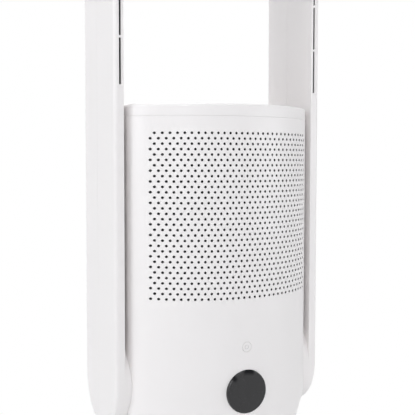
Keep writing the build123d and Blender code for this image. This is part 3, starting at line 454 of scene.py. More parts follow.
# ------------------------------------------------------------------ mesh helpers
def plain_object(name: str, mesh: bpy.types.Mesh) -> bpy.types.Object:
    """Puts a mesh into the scene as an object at the origin.

    Args:
        name: Name of the object and its mesh.
        mesh: The mesh.

    Returns:
        The new object.
    """
    mesh.name = name
    piece = bpy.data.objects.new(name, mesh)
    bpy.context.scene.collection.objects.link(piece)
    return piece


def mesh_of(shape: bmesh.types.BMesh, name: str, scale: float = MM) -> bpy.types.Mesh:
    """Turns a BMesh in millimetres into a mesh in metres.

    Args:
        shape: The shape, freed afterwards.
        name: Name of the mesh.
        scale: Length of one unit in metres.

    Returns:
        The mesh.
    """
    bmesh.ops.transform(shape, matrix=Matrix.Scale(scale, 4), verts=shape.verts)
    mesh = bpy.data.meshes.new(name)
    shape.to_mesh(mesh)
    shape.free()
    return mesh


def smooth(mesh: bpy.types.Mesh, degrees: float = 32.0) -> None:
    """Shades a mesh smooth except where faces meet at more than an angle.

    Args:
        mesh: The mesh.
        degrees: The angle from which an edge stays sharp.
    """
    mesh.shade_smooth()
    mesh.set_sharp_from_angle(angle=math.radians(degrees))


def finished(name: str, shape: bmesh.types.BMesh, material: bpy.types.Material) -> bpy.types.Object:
    """Makes a shape in millimetres an object with its material, shaded smooth.

    Args:
        name: Name of the piece.
        shape: The shape, freed afterwards.
        material: Its material.

    Returns:
        The piece, on no body yet.
    """
    piece = plain_object(name, mesh_of(shape, name))
    piece.data.materials.append(material)
    smooth(piece.data)
    return piece


def loft(shape: bmesh.types.BMesh, rings: Sequence[Sequence[bmesh.types.BMVert]]) -> None:
    """Joins a row of equal rings into a closed solid.

    Args:
        shape: The shape that holds the rings.
        rings: The rings' vertices, each ring in the same order.
    """
    count = len(rings[0])
    for a, b in zip(rings, rings[1:]):
        for k in range(count):
            shape.faces.new((a[k], b[k], b[(k + 1) % count], a[(k + 1) % count]))
    for end in (rings[0], rings[-1]):
        shape.faces.new(end)
    bmesh.ops.recalc_face_normals(shape, faces=shape.faces)


def lathe(profile: Sequence[Spot], steps: int) -> bmesh.types.BMesh:
    """Turns an outline round the Z axis into a closed solid.

    Args:
        profile: Points (radius, height) from one end of the axis to the other.
        steps: Number of facets round the axis.

    Returns:
        The solid, with faces outwards.
    """
    shape = bmesh.new()
    rings: list[list[bmesh.types.BMVert]] = []
    for radius, height in profile:
        if radius < 1e-6:
            pole = shape.verts.new((0.0, 0.0, height))
            rings.append([pole] * steps)
            continue
        turns = [2 * math.pi * k / steps for k in range(steps)]
        rings.append([shape.verts.new((radius * math.cos(t), radius * math.sin(t), height)) for t in turns])
    for low, high in zip(rings, rings[1:]):
        for k in range(steps):
            corners = [low[k], low[(k + 1) % steps], high[(k + 1) % steps], high[k]]
            unique = list(dict.fromkeys(corners))
            if len(unique) > 2:
                shape.faces.new(unique)
    bmesh.ops.recalc_face_normals(shape, faces=shape.faces)
    return shape


def arc(centre: Spot, radius: float, start: float, end: float, steps: int) -> list[Spot]:
    """Points along an arc in a profile.

    Args:
        centre: Middle of the arc.
        radius: Its radius.
        start: First angle in degrees.
        end: Last angle in degrees.
        steps: Number of pieces that it is cut into.

    Returns:
        The points, both ends included.
    """
    spans = [math.radians(start + (end - start) * k / steps) for k in range(steps + 1)]
    return [(centre[0] + radius * math.cos(a), centre[1] + radius * math.sin(a)) for a in spans]


class Recipe(Tree):
    """A Geometry Nodes tree with named inputs that is run once and leaves a plain mesh.

    Attributes:
        KINDS: Socket type for each type of input.
    """

    KINDS = {float: "NodeSocketFloat", int: "NodeSocketInt", bpy.types.Object: "NodeSocketObject"}

    def __init__(self, name: str, inputs: dict[str, type]) -> None:
        """Makes the tree.

        Args:
            name: Name of the tree.
            inputs: For each input its name and type.
        """
        super().__init__(bpy.data.node_groups.new(name, "GeometryNodeTree"))
        face = self.tree.interface
        for way in ("INPUT", "OUTPUT"):
            face.new_socket("Geometry", in_out=way, socket_type="NodeSocketGeometry")
        dress = face.new_socket("Material", in_out="INPUT", socket_type="NodeSocketMaterial")
        self.names = {"Material": dress.identifier}
        for title, kind in inputs.items():
            socket = face.new_socket(title, in_out="INPUT", socket_type=self.KINDS[kind])
            self.names[title] = socket.identifier
        self.given = self.add("NodeGroupInput").outputs

    def join(self, *parts: bpy.types.NodeSocket) -> bpy.types.NodeSocket:
        """Joins several geometries into one.

        Args:
            parts: Sockets with the geometries.

        Returns:
            Socket with the whole.
        """
        node = self.add("GeometryNodeJoinGeometry")
        for part in parts:
            self.tree.links.new(part, node.inputs[0])
        return node.outputs[0]

    def thicken(self, sheet: bpy.types.NodeSocket, offset: bpy.types.NodeSocket,
                distance: float) -> bpy.types.NodeSocket:
        """Makes a closed solid of a flat sheet.

        Args:
            sheet: Socket with the sheet.
            offset: Socket with the way from the sheet to the solid's other side.
            distance: Distance under which points are merged.

        Returns:
            Socket with the solid.
        """
        raised = self.add("GeometryNodeExtrudeMesh", {"Mesh": sheet, "Offset": offset, "Individual": False},
                          mode="FACES")
        back = self.add("GeometryNodeFlipFaces", {"Mesh": sheet})
        solid = self.join(raised.outputs["Mesh"], back.outputs[0])
        return self.merge(solid, distance)

    def merge(self, geometry: bpy.types.NodeSocket, distance: float) -> bpy.types.NodeSocket:
        """Merges points that are closer than a distance."""
        values = {"Geometry": geometry, "Distance": distance}
        return self.add("GeometryNodeMergeByDistance", values).outputs[0]

    def scatter(self, points: bpy.types.NodeSocket, source: str, **values: object) -> bpy.types.NodeSocket:
        """Sets an object on every point.

        Args:
            points: Socket with the points.
            source: Name of the input with the object.
            values: More values of the node, such as Rotation.

        Returns:
            Socket with the instances.
        """
        item = self.add("GeometryNodeObjectInfo", {"Object": self.given[source]}).outputs["Geometry"]
        values = {"Points": points, "Instance": item, **values}
        return self.add("GeometryNodeInstanceOnPoints", values).outputs[0]

    def attribute(self, name: str, kind: str) -> bpy.types.NodeSocket:
        """Reads a named attribute of the given kind."""
        node = self.add("GeometryNodeInputNamedAttribute", {"Name": name}, data_type=kind)
        return node.outputs["Attribute"]

    def close(self, geometry: bpy.types.NodeSocket) -> None:
        """Ends the tree in Realize Instances and Set Material.

        Args:
            geometry: Socket with the finished geometry.
        """
        real = self.add("GeometryNodeRealizeInstances", {"Geometry": geometry})
        dressed = self.add("GeometryNodeSetMaterial", {"Geometry": real.outputs[0],
                                                       "Material": self.given["Material"]})
        self.add("NodeGroupOutput", {"Geometry": dressed.outputs[0]})

    def run(self, name: str, material: bpy.types.Material, mesh: bpy.types.Mesh | None = None,
            **values: object) -> bpy.types.Object:
        """Runs the tree and keeps its result as a plain mesh.

        Args:
            name: Name of the piece.
            material: Material that the tree sets.
            mesh: Mesh that the tree starts from, or None for an empty one.
            values: The inputs, with _ in place of a space in their names.

        Returns:
            The piece, with no modifier left on it.
        """
        piece = plain_object(name, mesh or bpy.data.meshes.new(name))
        modifier = piece.modifiers.new("recipe", "NODES")
        modifier.node_group = self.tree
        modifier[self.names["Material"]] = material
        for title, value in values.items():
            modifier[self.names[title.replace("_", " ")]] = value
        keep_result(piece)
        return piece


def keep_result(piece: bpy.types.Object) -> None:
    """Replaces a piece's mesh by what its modifiers make of it, and removes them.

    Args:
        piece: The piece.
    """
    graph = bpy.context.evaluated_depsgraph_get()
    graph.update()
    made = bpy.data.meshes.new_from_object(piece.evaluated_get(graph), depsgraph=graph)
    piece.modifiers.clear()
    piece.data = made
    made.name = piece.name


def settle(piece: bpy.types.Object, body: str, slot: str, *nodes: str) -> bpy.types.Object:
    """Hands a finished piece to its body.

    Args:
        piece: The piece.
        body: The body that it rides on.
        slot: The record's material slot; not used.
        nodes: The nodes that it stands for.

    Returns:
        The piece.
    """
    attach(piece, body)
    if nodes:
        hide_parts(*nodes)
    LOG.info("%s: %d faces on %s", piece.name, len(piece.data.polygons), body)
    return piece


# ------------------------------------------------------------------ body
@dataclass(frozen=True)
class BodyPlan:
    """Plan of the tower's body: an ellipse with flat sides, blended corners and a tapered foot.

    Attributes:
        half_x: Half axis of the ellipse across.
        half_y: Half axis of the ellipse front to back.
        flat_x: Distance of the side flats.
        blend_r: Radius of the corners between flat and ellipse.
        taper_top: Height at which the tapered foot starts.
        taper_deg: Slope of the foot from upright.
        TURNS: Span of the ellipse's parameter in which a corner is looked for.
        HALVINGS: How often that span is halved.
    """

    half_x: float = 131.4
    half_y: float = 111.0
    flat_x: float = 119.0
    blend_r: float = 24.0
    taper_top: float = 105.0
    taper_deg: float = 14.5

    TURNS = (0.2, 1.2)
    HALVINGS = 50

    @property
    def slope(self) -> float:
        """How far the foot draws in for each millimetre down."""
        return math.tan(math.radians(self.taper_deg))

    def inset_at(self, height: float) -> float:
        """How far the foot is drawn in at a height."""
        return max(0.0, self.taper_top - height) * self.slope

    def depth(self, across: float, inset: float) -> float:
        """Distance of the front curve from the middle plane, where it crosses a given x.

        Args:
            across: The x value.
            inset: How far the curve is drawn in.

        Returns:
            The distance, which is positive.
        """
        share = across / (self.half_x - inset)
        return (self.half_y - inset) * math.sqrt(max(0.0, 1.0 - share * share))

    def corner(self, inset: float) -> Spot:
        """Finds where the ellipse meets the corner's arc.

        Args:
            inset: How far the plan is drawn in.

        Returns:
            The ellipse's parameter at that point, and the y of the arc's centre.
        """
        half_x, half_y = self.half_x - inset, self.half_y - inset
        radius = self.blend_r - inset
        low, high = self.TURNS
        for _ in range(self.HALVINGS):
            turn = (low + high) / 2
            normal = Vector((math.cos(turn) / half_x, math.sin(turn) / half_y)).normalized()
            if half_x * math.cos(turn) - radius * normal.x > self.flat_x - self.blend_r:
                low = turn
            else:
                high = turn
        return turn, half_y * math.sin(turn) - radius * normal.y

    def side_run(self, start_x: float, end_y: float, inset: float, steps: int) -> list[Spot]:
        """Points along the right-hand side of the front curve, from a given x round to the flat.

        Args:
            start_x: Where the run starts on the ellipse.
            end_y: Distance from the middle plane at which it ends on the flat.
            inset: How far the plan is drawn in.
            steps: Number of pieces for each of the run's three parts.

        Returns:
            Points (x, y), with y towards the front as a negative number.
        """
        half_x, half_y = self.half_x - inset, self.half_y - inset
        radius = self.blend_r - inset
        turn, centre_y = self.corner(inset)
        first = math.acos(min(1.0, start_x / half_x))
        spans = [first + (turn - first) * k / steps for k in range(steps)]
        points = [(half_x * math.cos(t), -half_y * math.sin(t)) for t in spans]
        heading = math.atan2(half_y * math.sin(turn) - centre_y,
                             half_x * math.cos(turn) - (self.flat_x - self.blend_r))
        for k in range(steps):
            angle = heading * (1 - k / steps)
            points.append((self.flat_x - self.blend_r + radius * math.cos(angle),
                           -centre_y - radius * math.sin(angle)))
        flat = self.flat_x - inset
        points += [(flat, -centre_y + (centre_y - end_y) * k / steps) for k in range(steps + 1)]
        return points


@dataclass(frozen=True)
class Bore:
    """A round opening in a cover, and the cells of the cover's sheet that make room for it.

    Attributes:
        radius: Radius of the opening.
        height: Height of its centre.
        half_columns: Cells to each side of the middle.
        first_row: Row at which the cells start, counted up from the top of the tapered foot.
        last_row: Row at which they end.
    """

    radius: float
    height: float
    half_columns: int
    first_row: int
    last_row: int


@dataclass
class PerforatedCover:
    """A curved cover with a staggered field of round holes.

    The cover is drawn as a flat sheet in x and z. A Geometry Nodes recipe sets one tile with a hole
    at each place of the field, gives the sheet its wall and lays it on the body's curve, so that
    the holes run straight back as a moulding tool leaves them.

    Attributes:
        name: Name of the piece.
        body: Body that it rides on.
        node: Node that it stands for.
        plan: Plan of the body.
        rear: True for the cover at the back.
        bottom: Lowest edge.
        top: Highest edge.
        columns: Holes in the longer rows.
        bores: Round openings.
        wall: Wall thickness.
        field_wall: Wall thickness among the holes, where the inside is relieved.
        split_y: Where the cover ends on the side flats.
        scoop: Half width and depth in height of a finger scoop in the top edge, or None.
        hole_d: Diameter of the holes.
        pitch_x: Distance between the holes of a row.
        pitch_z: Distance between the rows.
        rows: Number of rows.
        first_row_z: Height of the lowest row.
        side_x: Distance from the middle at which the flat sheet ends and the wrapped sides start.
        side_steps: Pieces for each of the three parts of a wrapped side.
        hole_facets: Facets round a hole, two for each point of a tile's rim.
        duct: Centre y and z, and half width and half height, of the oval air ducts.
        row_lines: Heights of the sheet's rows, filled by lines().
        column_lines: Places of the sheet's columns, filled by lines().
        LAYERS: Names and kinds of the attributes that carry the wrapped sides' places.
        SLACK: Play with which places are compared.
        MERGE: Distance under which points of the sheet are merged.
        FOOT_STEPS: Rows of the sheet over the tapered foot.
        EDGE_STEPS: Rows of the sheet above the field of holes.
        SCOOP_OUT: Distance of the scoop's axis outside the body.
    """

    name: str
    body: str
    node: str
    plan: BodyPlan
    rear: bool
    bottom: float
    top: float
    columns: int
    bores: tuple[Bore, ...] = ()
    wall: float = 2.4
    field_wall: float = 0.8
    split_y: float = 22.0
    scoop: Pair | None = None
    hole_d: float = 3.1
    pitch_x: float = 7.0
    pitch_z: float = 6.0
    rows: int = 32
    first_row_z: float = 239.3
    side_x: float = 112.0
    side_steps: int = 6
    hole_facets: int = 16
    duct: tuple[float, float, float, float] = (0.4, 141.0, 36.3, 30.3)
    row_lines: list[float] = field(default_factory=list)
    column_lines: list[float] = field(default_factory=list)

    LAYERS = (("outer_place", "FLOAT_VECTOR"), ("inner_place", "FLOAT_VECTOR"), ("wrapped", "FLOAT"))
    SLACK = 0.1
    MERGE = 0.01
    FOOT_STEPS = 4
    EDGE_STEPS = 8
    SCOOP_OUT = 10.0

    def lines(self) -> None:
        """Works out the sheet's rows and columns."""
        half = self.pitch_x / 2
        field_low = self.first_row_z - self.pitch_z / 2
        field_high = field_low + self.rows * self.pitch_z
        start = max(self.bottom, self.plan.taper_top)
        lower = [start]
        while lower[-1] + half < field_low - self.SLACK:
            lower.append(lower[-1] + half)
        foot = []
        if self.bottom < self.plan.taper_top:
            rise = start - self.bottom
            foot = [self.bottom + rise * k / self.FOOT_STEPS for k in range(self.FOOT_STEPS)]
        grid = [field_low + self.pitch_z * k for k in range(self.rows + 1)]
        above = self.top - field_high
        edge = [field_high + above * k / self.EDGE_STEPS for k in range(1, self.EDGE_STEPS + 1)]
        self.row_lines = foot + lower + grid + edge
        count = int(round(self.side_x / half))
        self.column_lines = [half * k for k in range(-count, count + 1)]

    def sheet(self) -> bpy.types.Mesh:
        """Builds the flat sheet around the field of holes.

        Returns:
            The sheet in x and z, with the wrapped sides' places as attributes.
        """
        shape = bmesh.new()
        layers = tuple(getattr(shape.verts.layers, kind.lower()).new(name) for name, kind in self.LAYERS)
        rows, columns = self.row_lines, self.column_lines
        grid: dict[tuple[int, int], bmesh.types.BMVert] = {}

        def vert(i: int, j: int) -> bmesh.types.BMVert:
            """Gives one of the sheet's vertices.

            Args:
                i: Its column.
                j: Its row.

            Returns:
                The vertex, made the first time.
            """
            if (i, j) not in grid:
                grid[i, j] = shape.verts.new((columns[i], self.wall, rows[j]))
            return grid[i, j]

        middle = len(columns) // 2
        foot = sum(1 for z in rows if z < self.plan.taper_top - self.SLACK)
        holes = [(middle - b.half_columns, middle + b.half_columns, foot + b.first_row, foot + b.last_row)
                 for b in self.bores]
        field_low = self.first_row_z - self.pitch_z / 2
        for j in range(len(rows) - 1):
            row = round((rows[j] - field_low) / self.pitch_z, 3)
            in_field = 0 <= row < self.rows
            reach = self.columns - int(row) % 2
            for i in range(len(columns) - 1):
                if in_field and -reach <= i - middle < reach:
                    continue
                if any(a <= i < b and c <= j < d for a, b, c, d in holes):
                    continue
                shape.faces.new((vert(i, j), vert(i + 1, j), vert(i + 1, j + 1), vert(i, j + 1)))
        for bore, (a, b, c, d) in zip(self.bores, holes):
            rim = [vert(i, c) for i in range(a, b)] + [vert(b, j) for j in range(c, d)]
            rim += [vert(i, d) for i in range(b, a, -1)] + [vert(a, j) for j in range(d, c, -1)]
            self.ring(shape, rim, bore)
        for side in (-1, 1):
            self.wrap(shape, side, vert, layers)
        return mesh_of(shape, self.name + "_sheet", 1.0)

    def ring(self, shape: bmesh.types.BMesh, rim: list[bmesh.types.BMVert], bore: Bore) -> None:
        """Fills the cells between the sheet and a round opening.

        Args:
            shape: The sheet.
            rim: The sheet's vertices around the cells, in order.
            bore: The opening.
        """
        circle = []
        for vertex in rim:
            angle = math.atan2(vertex.co.z - bore.height, vertex.co.x)
            place = (bore.radius * math.cos(angle), self.wall, bore.height + bore.radius * math.sin(angle))
            circle.append(shape.verts.new(place))
        for k, vertex in enumerate(rim):
            after = (k + 1) % len(rim)
            shape.faces.new((vertex, rim[after], circle[after], circle[k]))

    def wrap(self, shape: bmesh.types.BMesh, side: int, vert: Callable[[int, int], bmesh.types.BMVert],
             layers: tuple[bmesh.types.BMLayerItem, ...]) -> None:
        """Adds the strip that goes round one corner of the body to its flat side.

        Args:
            shape: The sheet.
            side: -1 for the left-hand end of the sheet, 1 for the right-hand end.
            vert: Function that gives the sheet's vertex at a column and row.
            layers: The vertex layers for the outer and inner place, and for being wrapped.
        """
        outer, inner, wrapped = layers
        last = len(self.column_lines) - 1 if side > 0 else 0
        strips = []
        for j, z in enumerate(self.row_lines):
            drawn = self.plan.inset_at(z)
            runs = [self.plan.side_run(self.side_x, self.split_y, drawn + w, self.side_steps)
                    for w in (0.0, self.wall)]
            line = [vert(last, j)]
            for k in range(1, len(runs[0])):
                vertex = shape.verts.new((side * (self.side_x + k), self.wall, z))
                vertex[outer] = (side * runs[0][k][0], runs[0][k][1], z)
                vertex[inner] = (side * runs[1][k][0], runs[1][k][1], z)
                vertex[wrapped] = 1.0
                line.append(vertex)
            strips.append(line)
        for low, high in zip(strips, strips[1:]):
            for k in range(len(low) - 1):
                corners = (low[k], low[k + 1], high[k + 1], high[k])
                shape.faces.new(corners if side > 0 else corners[::-1])

    def tile(self) -> bpy.types.Mesh:
        """Builds one tile of the field, a cell with a round hole.

        Returns:
            The tile in x and z round its hole's centre.
        """
        shape = bmesh.new()
        half_x, half_z = self.pitch_x / 2, self.pitch_z / 2
        spots = [(1, 0), (1, 1), (0, 1), (-1, 1), (-1, 0), (-1, -1), (0, -1), (1, -1)]
        rim = [shape.verts.new((sx * half_x, self.wall, sz * half_z)) for sx, sz in spots]
        radius = self.hole_d / 2
        turns = [2 * math.pi * k / self.hole_facets for k in range(self.hole_facets)]
        hole = [shape.verts.new((radius * math.cos(t), self.wall, radius * math.sin(t))) for t in turns]
        for k, corner in enumerate(rim):
            after = (k + 1) % len(rim)
            shape.faces.new((corner, rim[after], hole[2 * after], hole[2 * k + 1]))
            shape.faces.new((corner, hole[2 * k + 1], hole[2 * k]))
        return mesh_of(shape, self.name + "_tile", 1.0)

    def recipe(self) -> Recipe:
        """Builds the Geometry Nodes tree.

        Returns:
            The recipe. Its inputs are in millimetres.
        """
        names = ("Half X", "Half Y", "Wall", "Thin", "Pitch X", "Pitch Z", "First Row", "Taper Top", "Slope",
                 "Turn")
        inputs: dict[str, type] = {name: float for name in names}
        inputs.update({"Columns": int, "Rows": int, "Tile": bpy.types.Object})
        tree = Recipe(self.name + "_recipe", inputs)
        given = tree.given
        parts = [given["Geometry"]]
        pairs = tree.math("DIVIDE", given["Rows"], 2.0)
        for longer in (True, False):
            count = given["Columns"] if longer else tree.math("SUBTRACT", given["Columns"], 1.0)
            width = tree.math("MULTIPLY", tree.math("SUBTRACT", count, 1.0), given["Pitch X"])
            depth = tree.math("MULTIPLY", tree.math("SUBTRACT", pairs, 1.0),
                              tree.math("MULTIPLY", given["Pitch Z"], 2.0))
            spots = tree.add("GeometryNodeMeshGrid", {"Size X": width, "Size Y": depth,
                                                      "Vertices X": count, "Vertices Y": pairs})
            centre = tree.math("ADD", given["First Row"], tree.math("DIVIDE", depth, 2.0))
            if not longer:
                centre = tree.math("ADD", centre, given["Pitch Z"])
            stood = tree.add("GeometryNodeTransform", {
                "Geometry": spots.outputs["Mesh"], "Translation": tree.vector(Z=centre),
                "Rotation": (math.pi / 2, 0.0, 0.0)})
            parts.append(tree.scatter(stood.outputs[0], "Tile"))
        real = tree.add("GeometryNodeRealizeInstances", {"Geometry": tree.join(*parts)})
        sheet = tree.merge(real.outputs[0], self.MERGE)
        forward = tree.vector(Y=tree.math("MULTIPLY", given["Wall"], -1.0))
        laid = tree.add("GeometryNodeSetPosition", {
            "Geometry": tree.thicken(sheet, forward, self.MERGE), "Position": self.curve(tree)})
        scaled = tree.add("GeometryNodeTransform", {
            "Geometry": laid.outputs[0], "Scale": (MM, MM, MM), "Rotation": tree.vector(Z=given["Turn"])})
        tree.close(scaled.outputs[0])
        return tree

    def curve(self, tree: Recipe) -> bpy.types.NodeSocket:
        """Adds the nodes that lay the sheet on the body.

        Args:
            tree: The recipe.

        Returns:
            Socket with the new position.
        """
        given = tree.given
        flat = tree.add("GeometryNodeInputPosition").outputs[0]
        part = tree.add("ShaderNodeSeparateXYZ", {0: flat}).outputs
        below = tree.math("MAXIMUM", tree.math("SUBTRACT", given["Taper Top"], part["Z"]), 0.0)
        reach = tree.math("MULTIPLY", tree.math("MULTIPLY", given["Columns"], given["Pitch X"]), 0.5)
        height = tree.math("MULTIPLY", tree.math("MULTIPLY", given["Rows"], given["Pitch Z"]), 0.5)
        middle = tree.math("SUBTRACT", tree.math("ADD", given["First Row"], height),
                           tree.math("MULTIPLY", given["Pitch Z"], 0.5))
        near = [tree.math("LESS_THAN", tree.math("ABSOLUTE", place), tree.math("ADD", limit, self.SLACK))
                for place, limit in ((part["X"], reach), (tree.math("SUBTRACT", part["Z"], middle), height))]
        thinned = tree.math("MULTIPLY", tree.math("MULTIPLY", *near), given["Thin"])
        back = tree.math("MULTIPLY", part["Y"], tree.math("SUBTRACT", 1.0, thinned))
        inset = tree.math("MULTIPLY_ADD", below, given["Slope"], back)
        half_x = tree.math("SUBTRACT", given["Half X"], inset)
        half_y = tree.math("SUBTRACT", given["Half Y"], inset)
        share = tree.math("DIVIDE", part["X"], half_x)
        root = tree.math("SQRT", tree.math("SUBTRACT", 1.0, tree.math("MULTIPLY", share, share)))
        depth = tree.math("MULTIPLY", tree.math("MULTIPLY", root, half_y), -1.0)
        front = tree.vector(X=part["X"], Y=depth, Z=part["Z"])
        outer, inner, wrapped = (tree.attribute(*layer) for layer in self.LAYERS)
        share = tree.math("DIVIDE", part["Y"], given["Wall"])
        side = tree.add("ShaderNodeMix", {"Factor": share, 4: outer, 5: inner}, data_type="VECTOR")
        chosen = tree.add("GeometryNodeSwitch", {
            "Switch": tree.math("GREATER_THAN", wrapped, 0.5), "False": front, "True": side.outputs[1]},
            input_type="VECTOR")
        return chosen.outputs[0]

    def build(self, material: bpy.types.Material) -> bpy.types.Object:
        """Makes the cover.

        Args:
            material: Its material.

        Returns:
            The piece, on its body.
        """
        self.lines()
        tile = plain_object(self.name + "_tile", self.tile())
        piece = self.recipe().run(
            self.name, material, self.sheet(), Tile=tile, Half_X=self.plan.half_x, Half_Y=self.plan.half_y,
            Wall=self.wall, Thin=1.0 - self.field_wall / self.wall, Pitch_X=self.pitch_x,
            Pitch_Z=self.pitch_z, First_Row=self.first_row_z, Taper_Top=self.plan.taper_top,
            Slope=self.plan.slope, Columns=self.columns, Rows=self.rows,
            Turn=math.pi if self.rear else 0.0)
        bpy.data.objects.remove(tile)
        for name, _ in self.LAYERS:
            piece.data.attributes.remove(piece.data.attributes[name])
        if self.scoop:
            self.press_scoop(piece.data)
        self.cut_duct(piece)
        smooth(piece.data)
        return settle(piece, self.body, "gloss_white", self.node)

    def press_scoop(self, mesh: bpy.types.Mesh) -> None:
        """Presses the finger scoop into the outside of the top edge.

        Args:
            mesh: The cover's mesh, in metres.
        """
        half, radius = self.scoop
        for vertex in mesh.vertices:
            x, y, z = vertex.co / MM
            drop = self.top - z
            inside = abs(y) < self.plan.depth(x, 0.0) - self.SLACK
            if inside or drop > radius or abs(x) > half:
                continue
            ease = min(1.0, (half - abs(x)) / self.pitch_x)
            limit = self.plan.half_y + self.SCOOP_OUT - math.sqrt(radius * radius - drop * drop)
            pressed = y + (min(y, limit) - y) * ease
            vertex.co.y = pressed * MM

    def cut_duct(self, piece: bpy.types.Object) -> None:
        """Cuts the cover's edges clear of the oval air ducts.

        Args:
            piece: The cover.
        """
        y, z, half_y, half_z = self.duct
        if self.bottom > z + half_z:
            return
        shape = bmesh.new()
        bmesh.ops.create_cone(shape, cap_ends=True, segments=96, radius1=1.0, radius2=1.0,
                              depth=2.6 * self.plan.half_x)
        turn = Matrix.Rotation(math.pi / 2, 4, "Y")
        size = Matrix.Diagonal((1.0, half_y, half_z, 1.0))
        bmesh.ops.transform(shape, matrix=Matrix.Translation((0.0, y, z)) @ size @ turn, verts=shape.verts)
        cutter = plain_object(self.name + "_duct", mesh_of(shape, self.name + "_duct"))
        modifier = piece.modifiers.new("duct", "BOOLEAN")
        modifier.operation = "DIFFERENCE"
        modifier.solver = "EXACT"
        modifier.object = cutter
        keep_result(piece)
        bpy.data.objects.remove(cutter)


@dataclass
class ShadeSheet:
    """Near-black sheet behind a cover's field of holes: painted shade that keeps the holes dark.

    Attributes:
        name: Name of the piece.
        cover: The cover that carries it.
        play: Gap between the cover's wall and the sheet.
        thickness: Thickness of the sheet.
        margin: How far it reaches past the field of holes.
    """

    name: str
    cover: PerforatedCover
    play: float = 0.2
    thickness: float = 0.4
    margin: float = -0.3

    def build(self, material: bpy.types.Material) -> bpy.types.Object:
        """Makes the sheet of painted shade.

        Args:
            material: Its material.

        Returns:
            The piece, on the cover's body.
        """
        # Painted shade: a near-black sheet that stands for the dark space behind the holes.
        cover = self.cover
        half = cover.columns * cover.pitch_x / 2 + self.margin
        low = cover.first_row_z - cover.pitch_z / 2 - self.margin
        high = low + cover.rows * cover.pitch_z + 2 * self.margin
        count = 2 * cover.columns
        turn = -1.0 if cover.rear else 1.0
        front = cover.field_wall + self.play
        shape = bmesh.new()
        rings = []
        for k in range(count + 1):
            x = half * (2 * k / count - 1)
            depths = [cover.plan.depth(x, inset) for inset in (front, front + self.thickness)]
            spots = ((depths[0], low), (depths[1], low), (depths[1], high), (depths[0], high))
            rings.append([shape.verts.new((turn * x, -turn * y, z)) for y, z in spots])
        loft(shape, rings)
        return settle(finished(self.name, shape, material), cover.body, "foam")


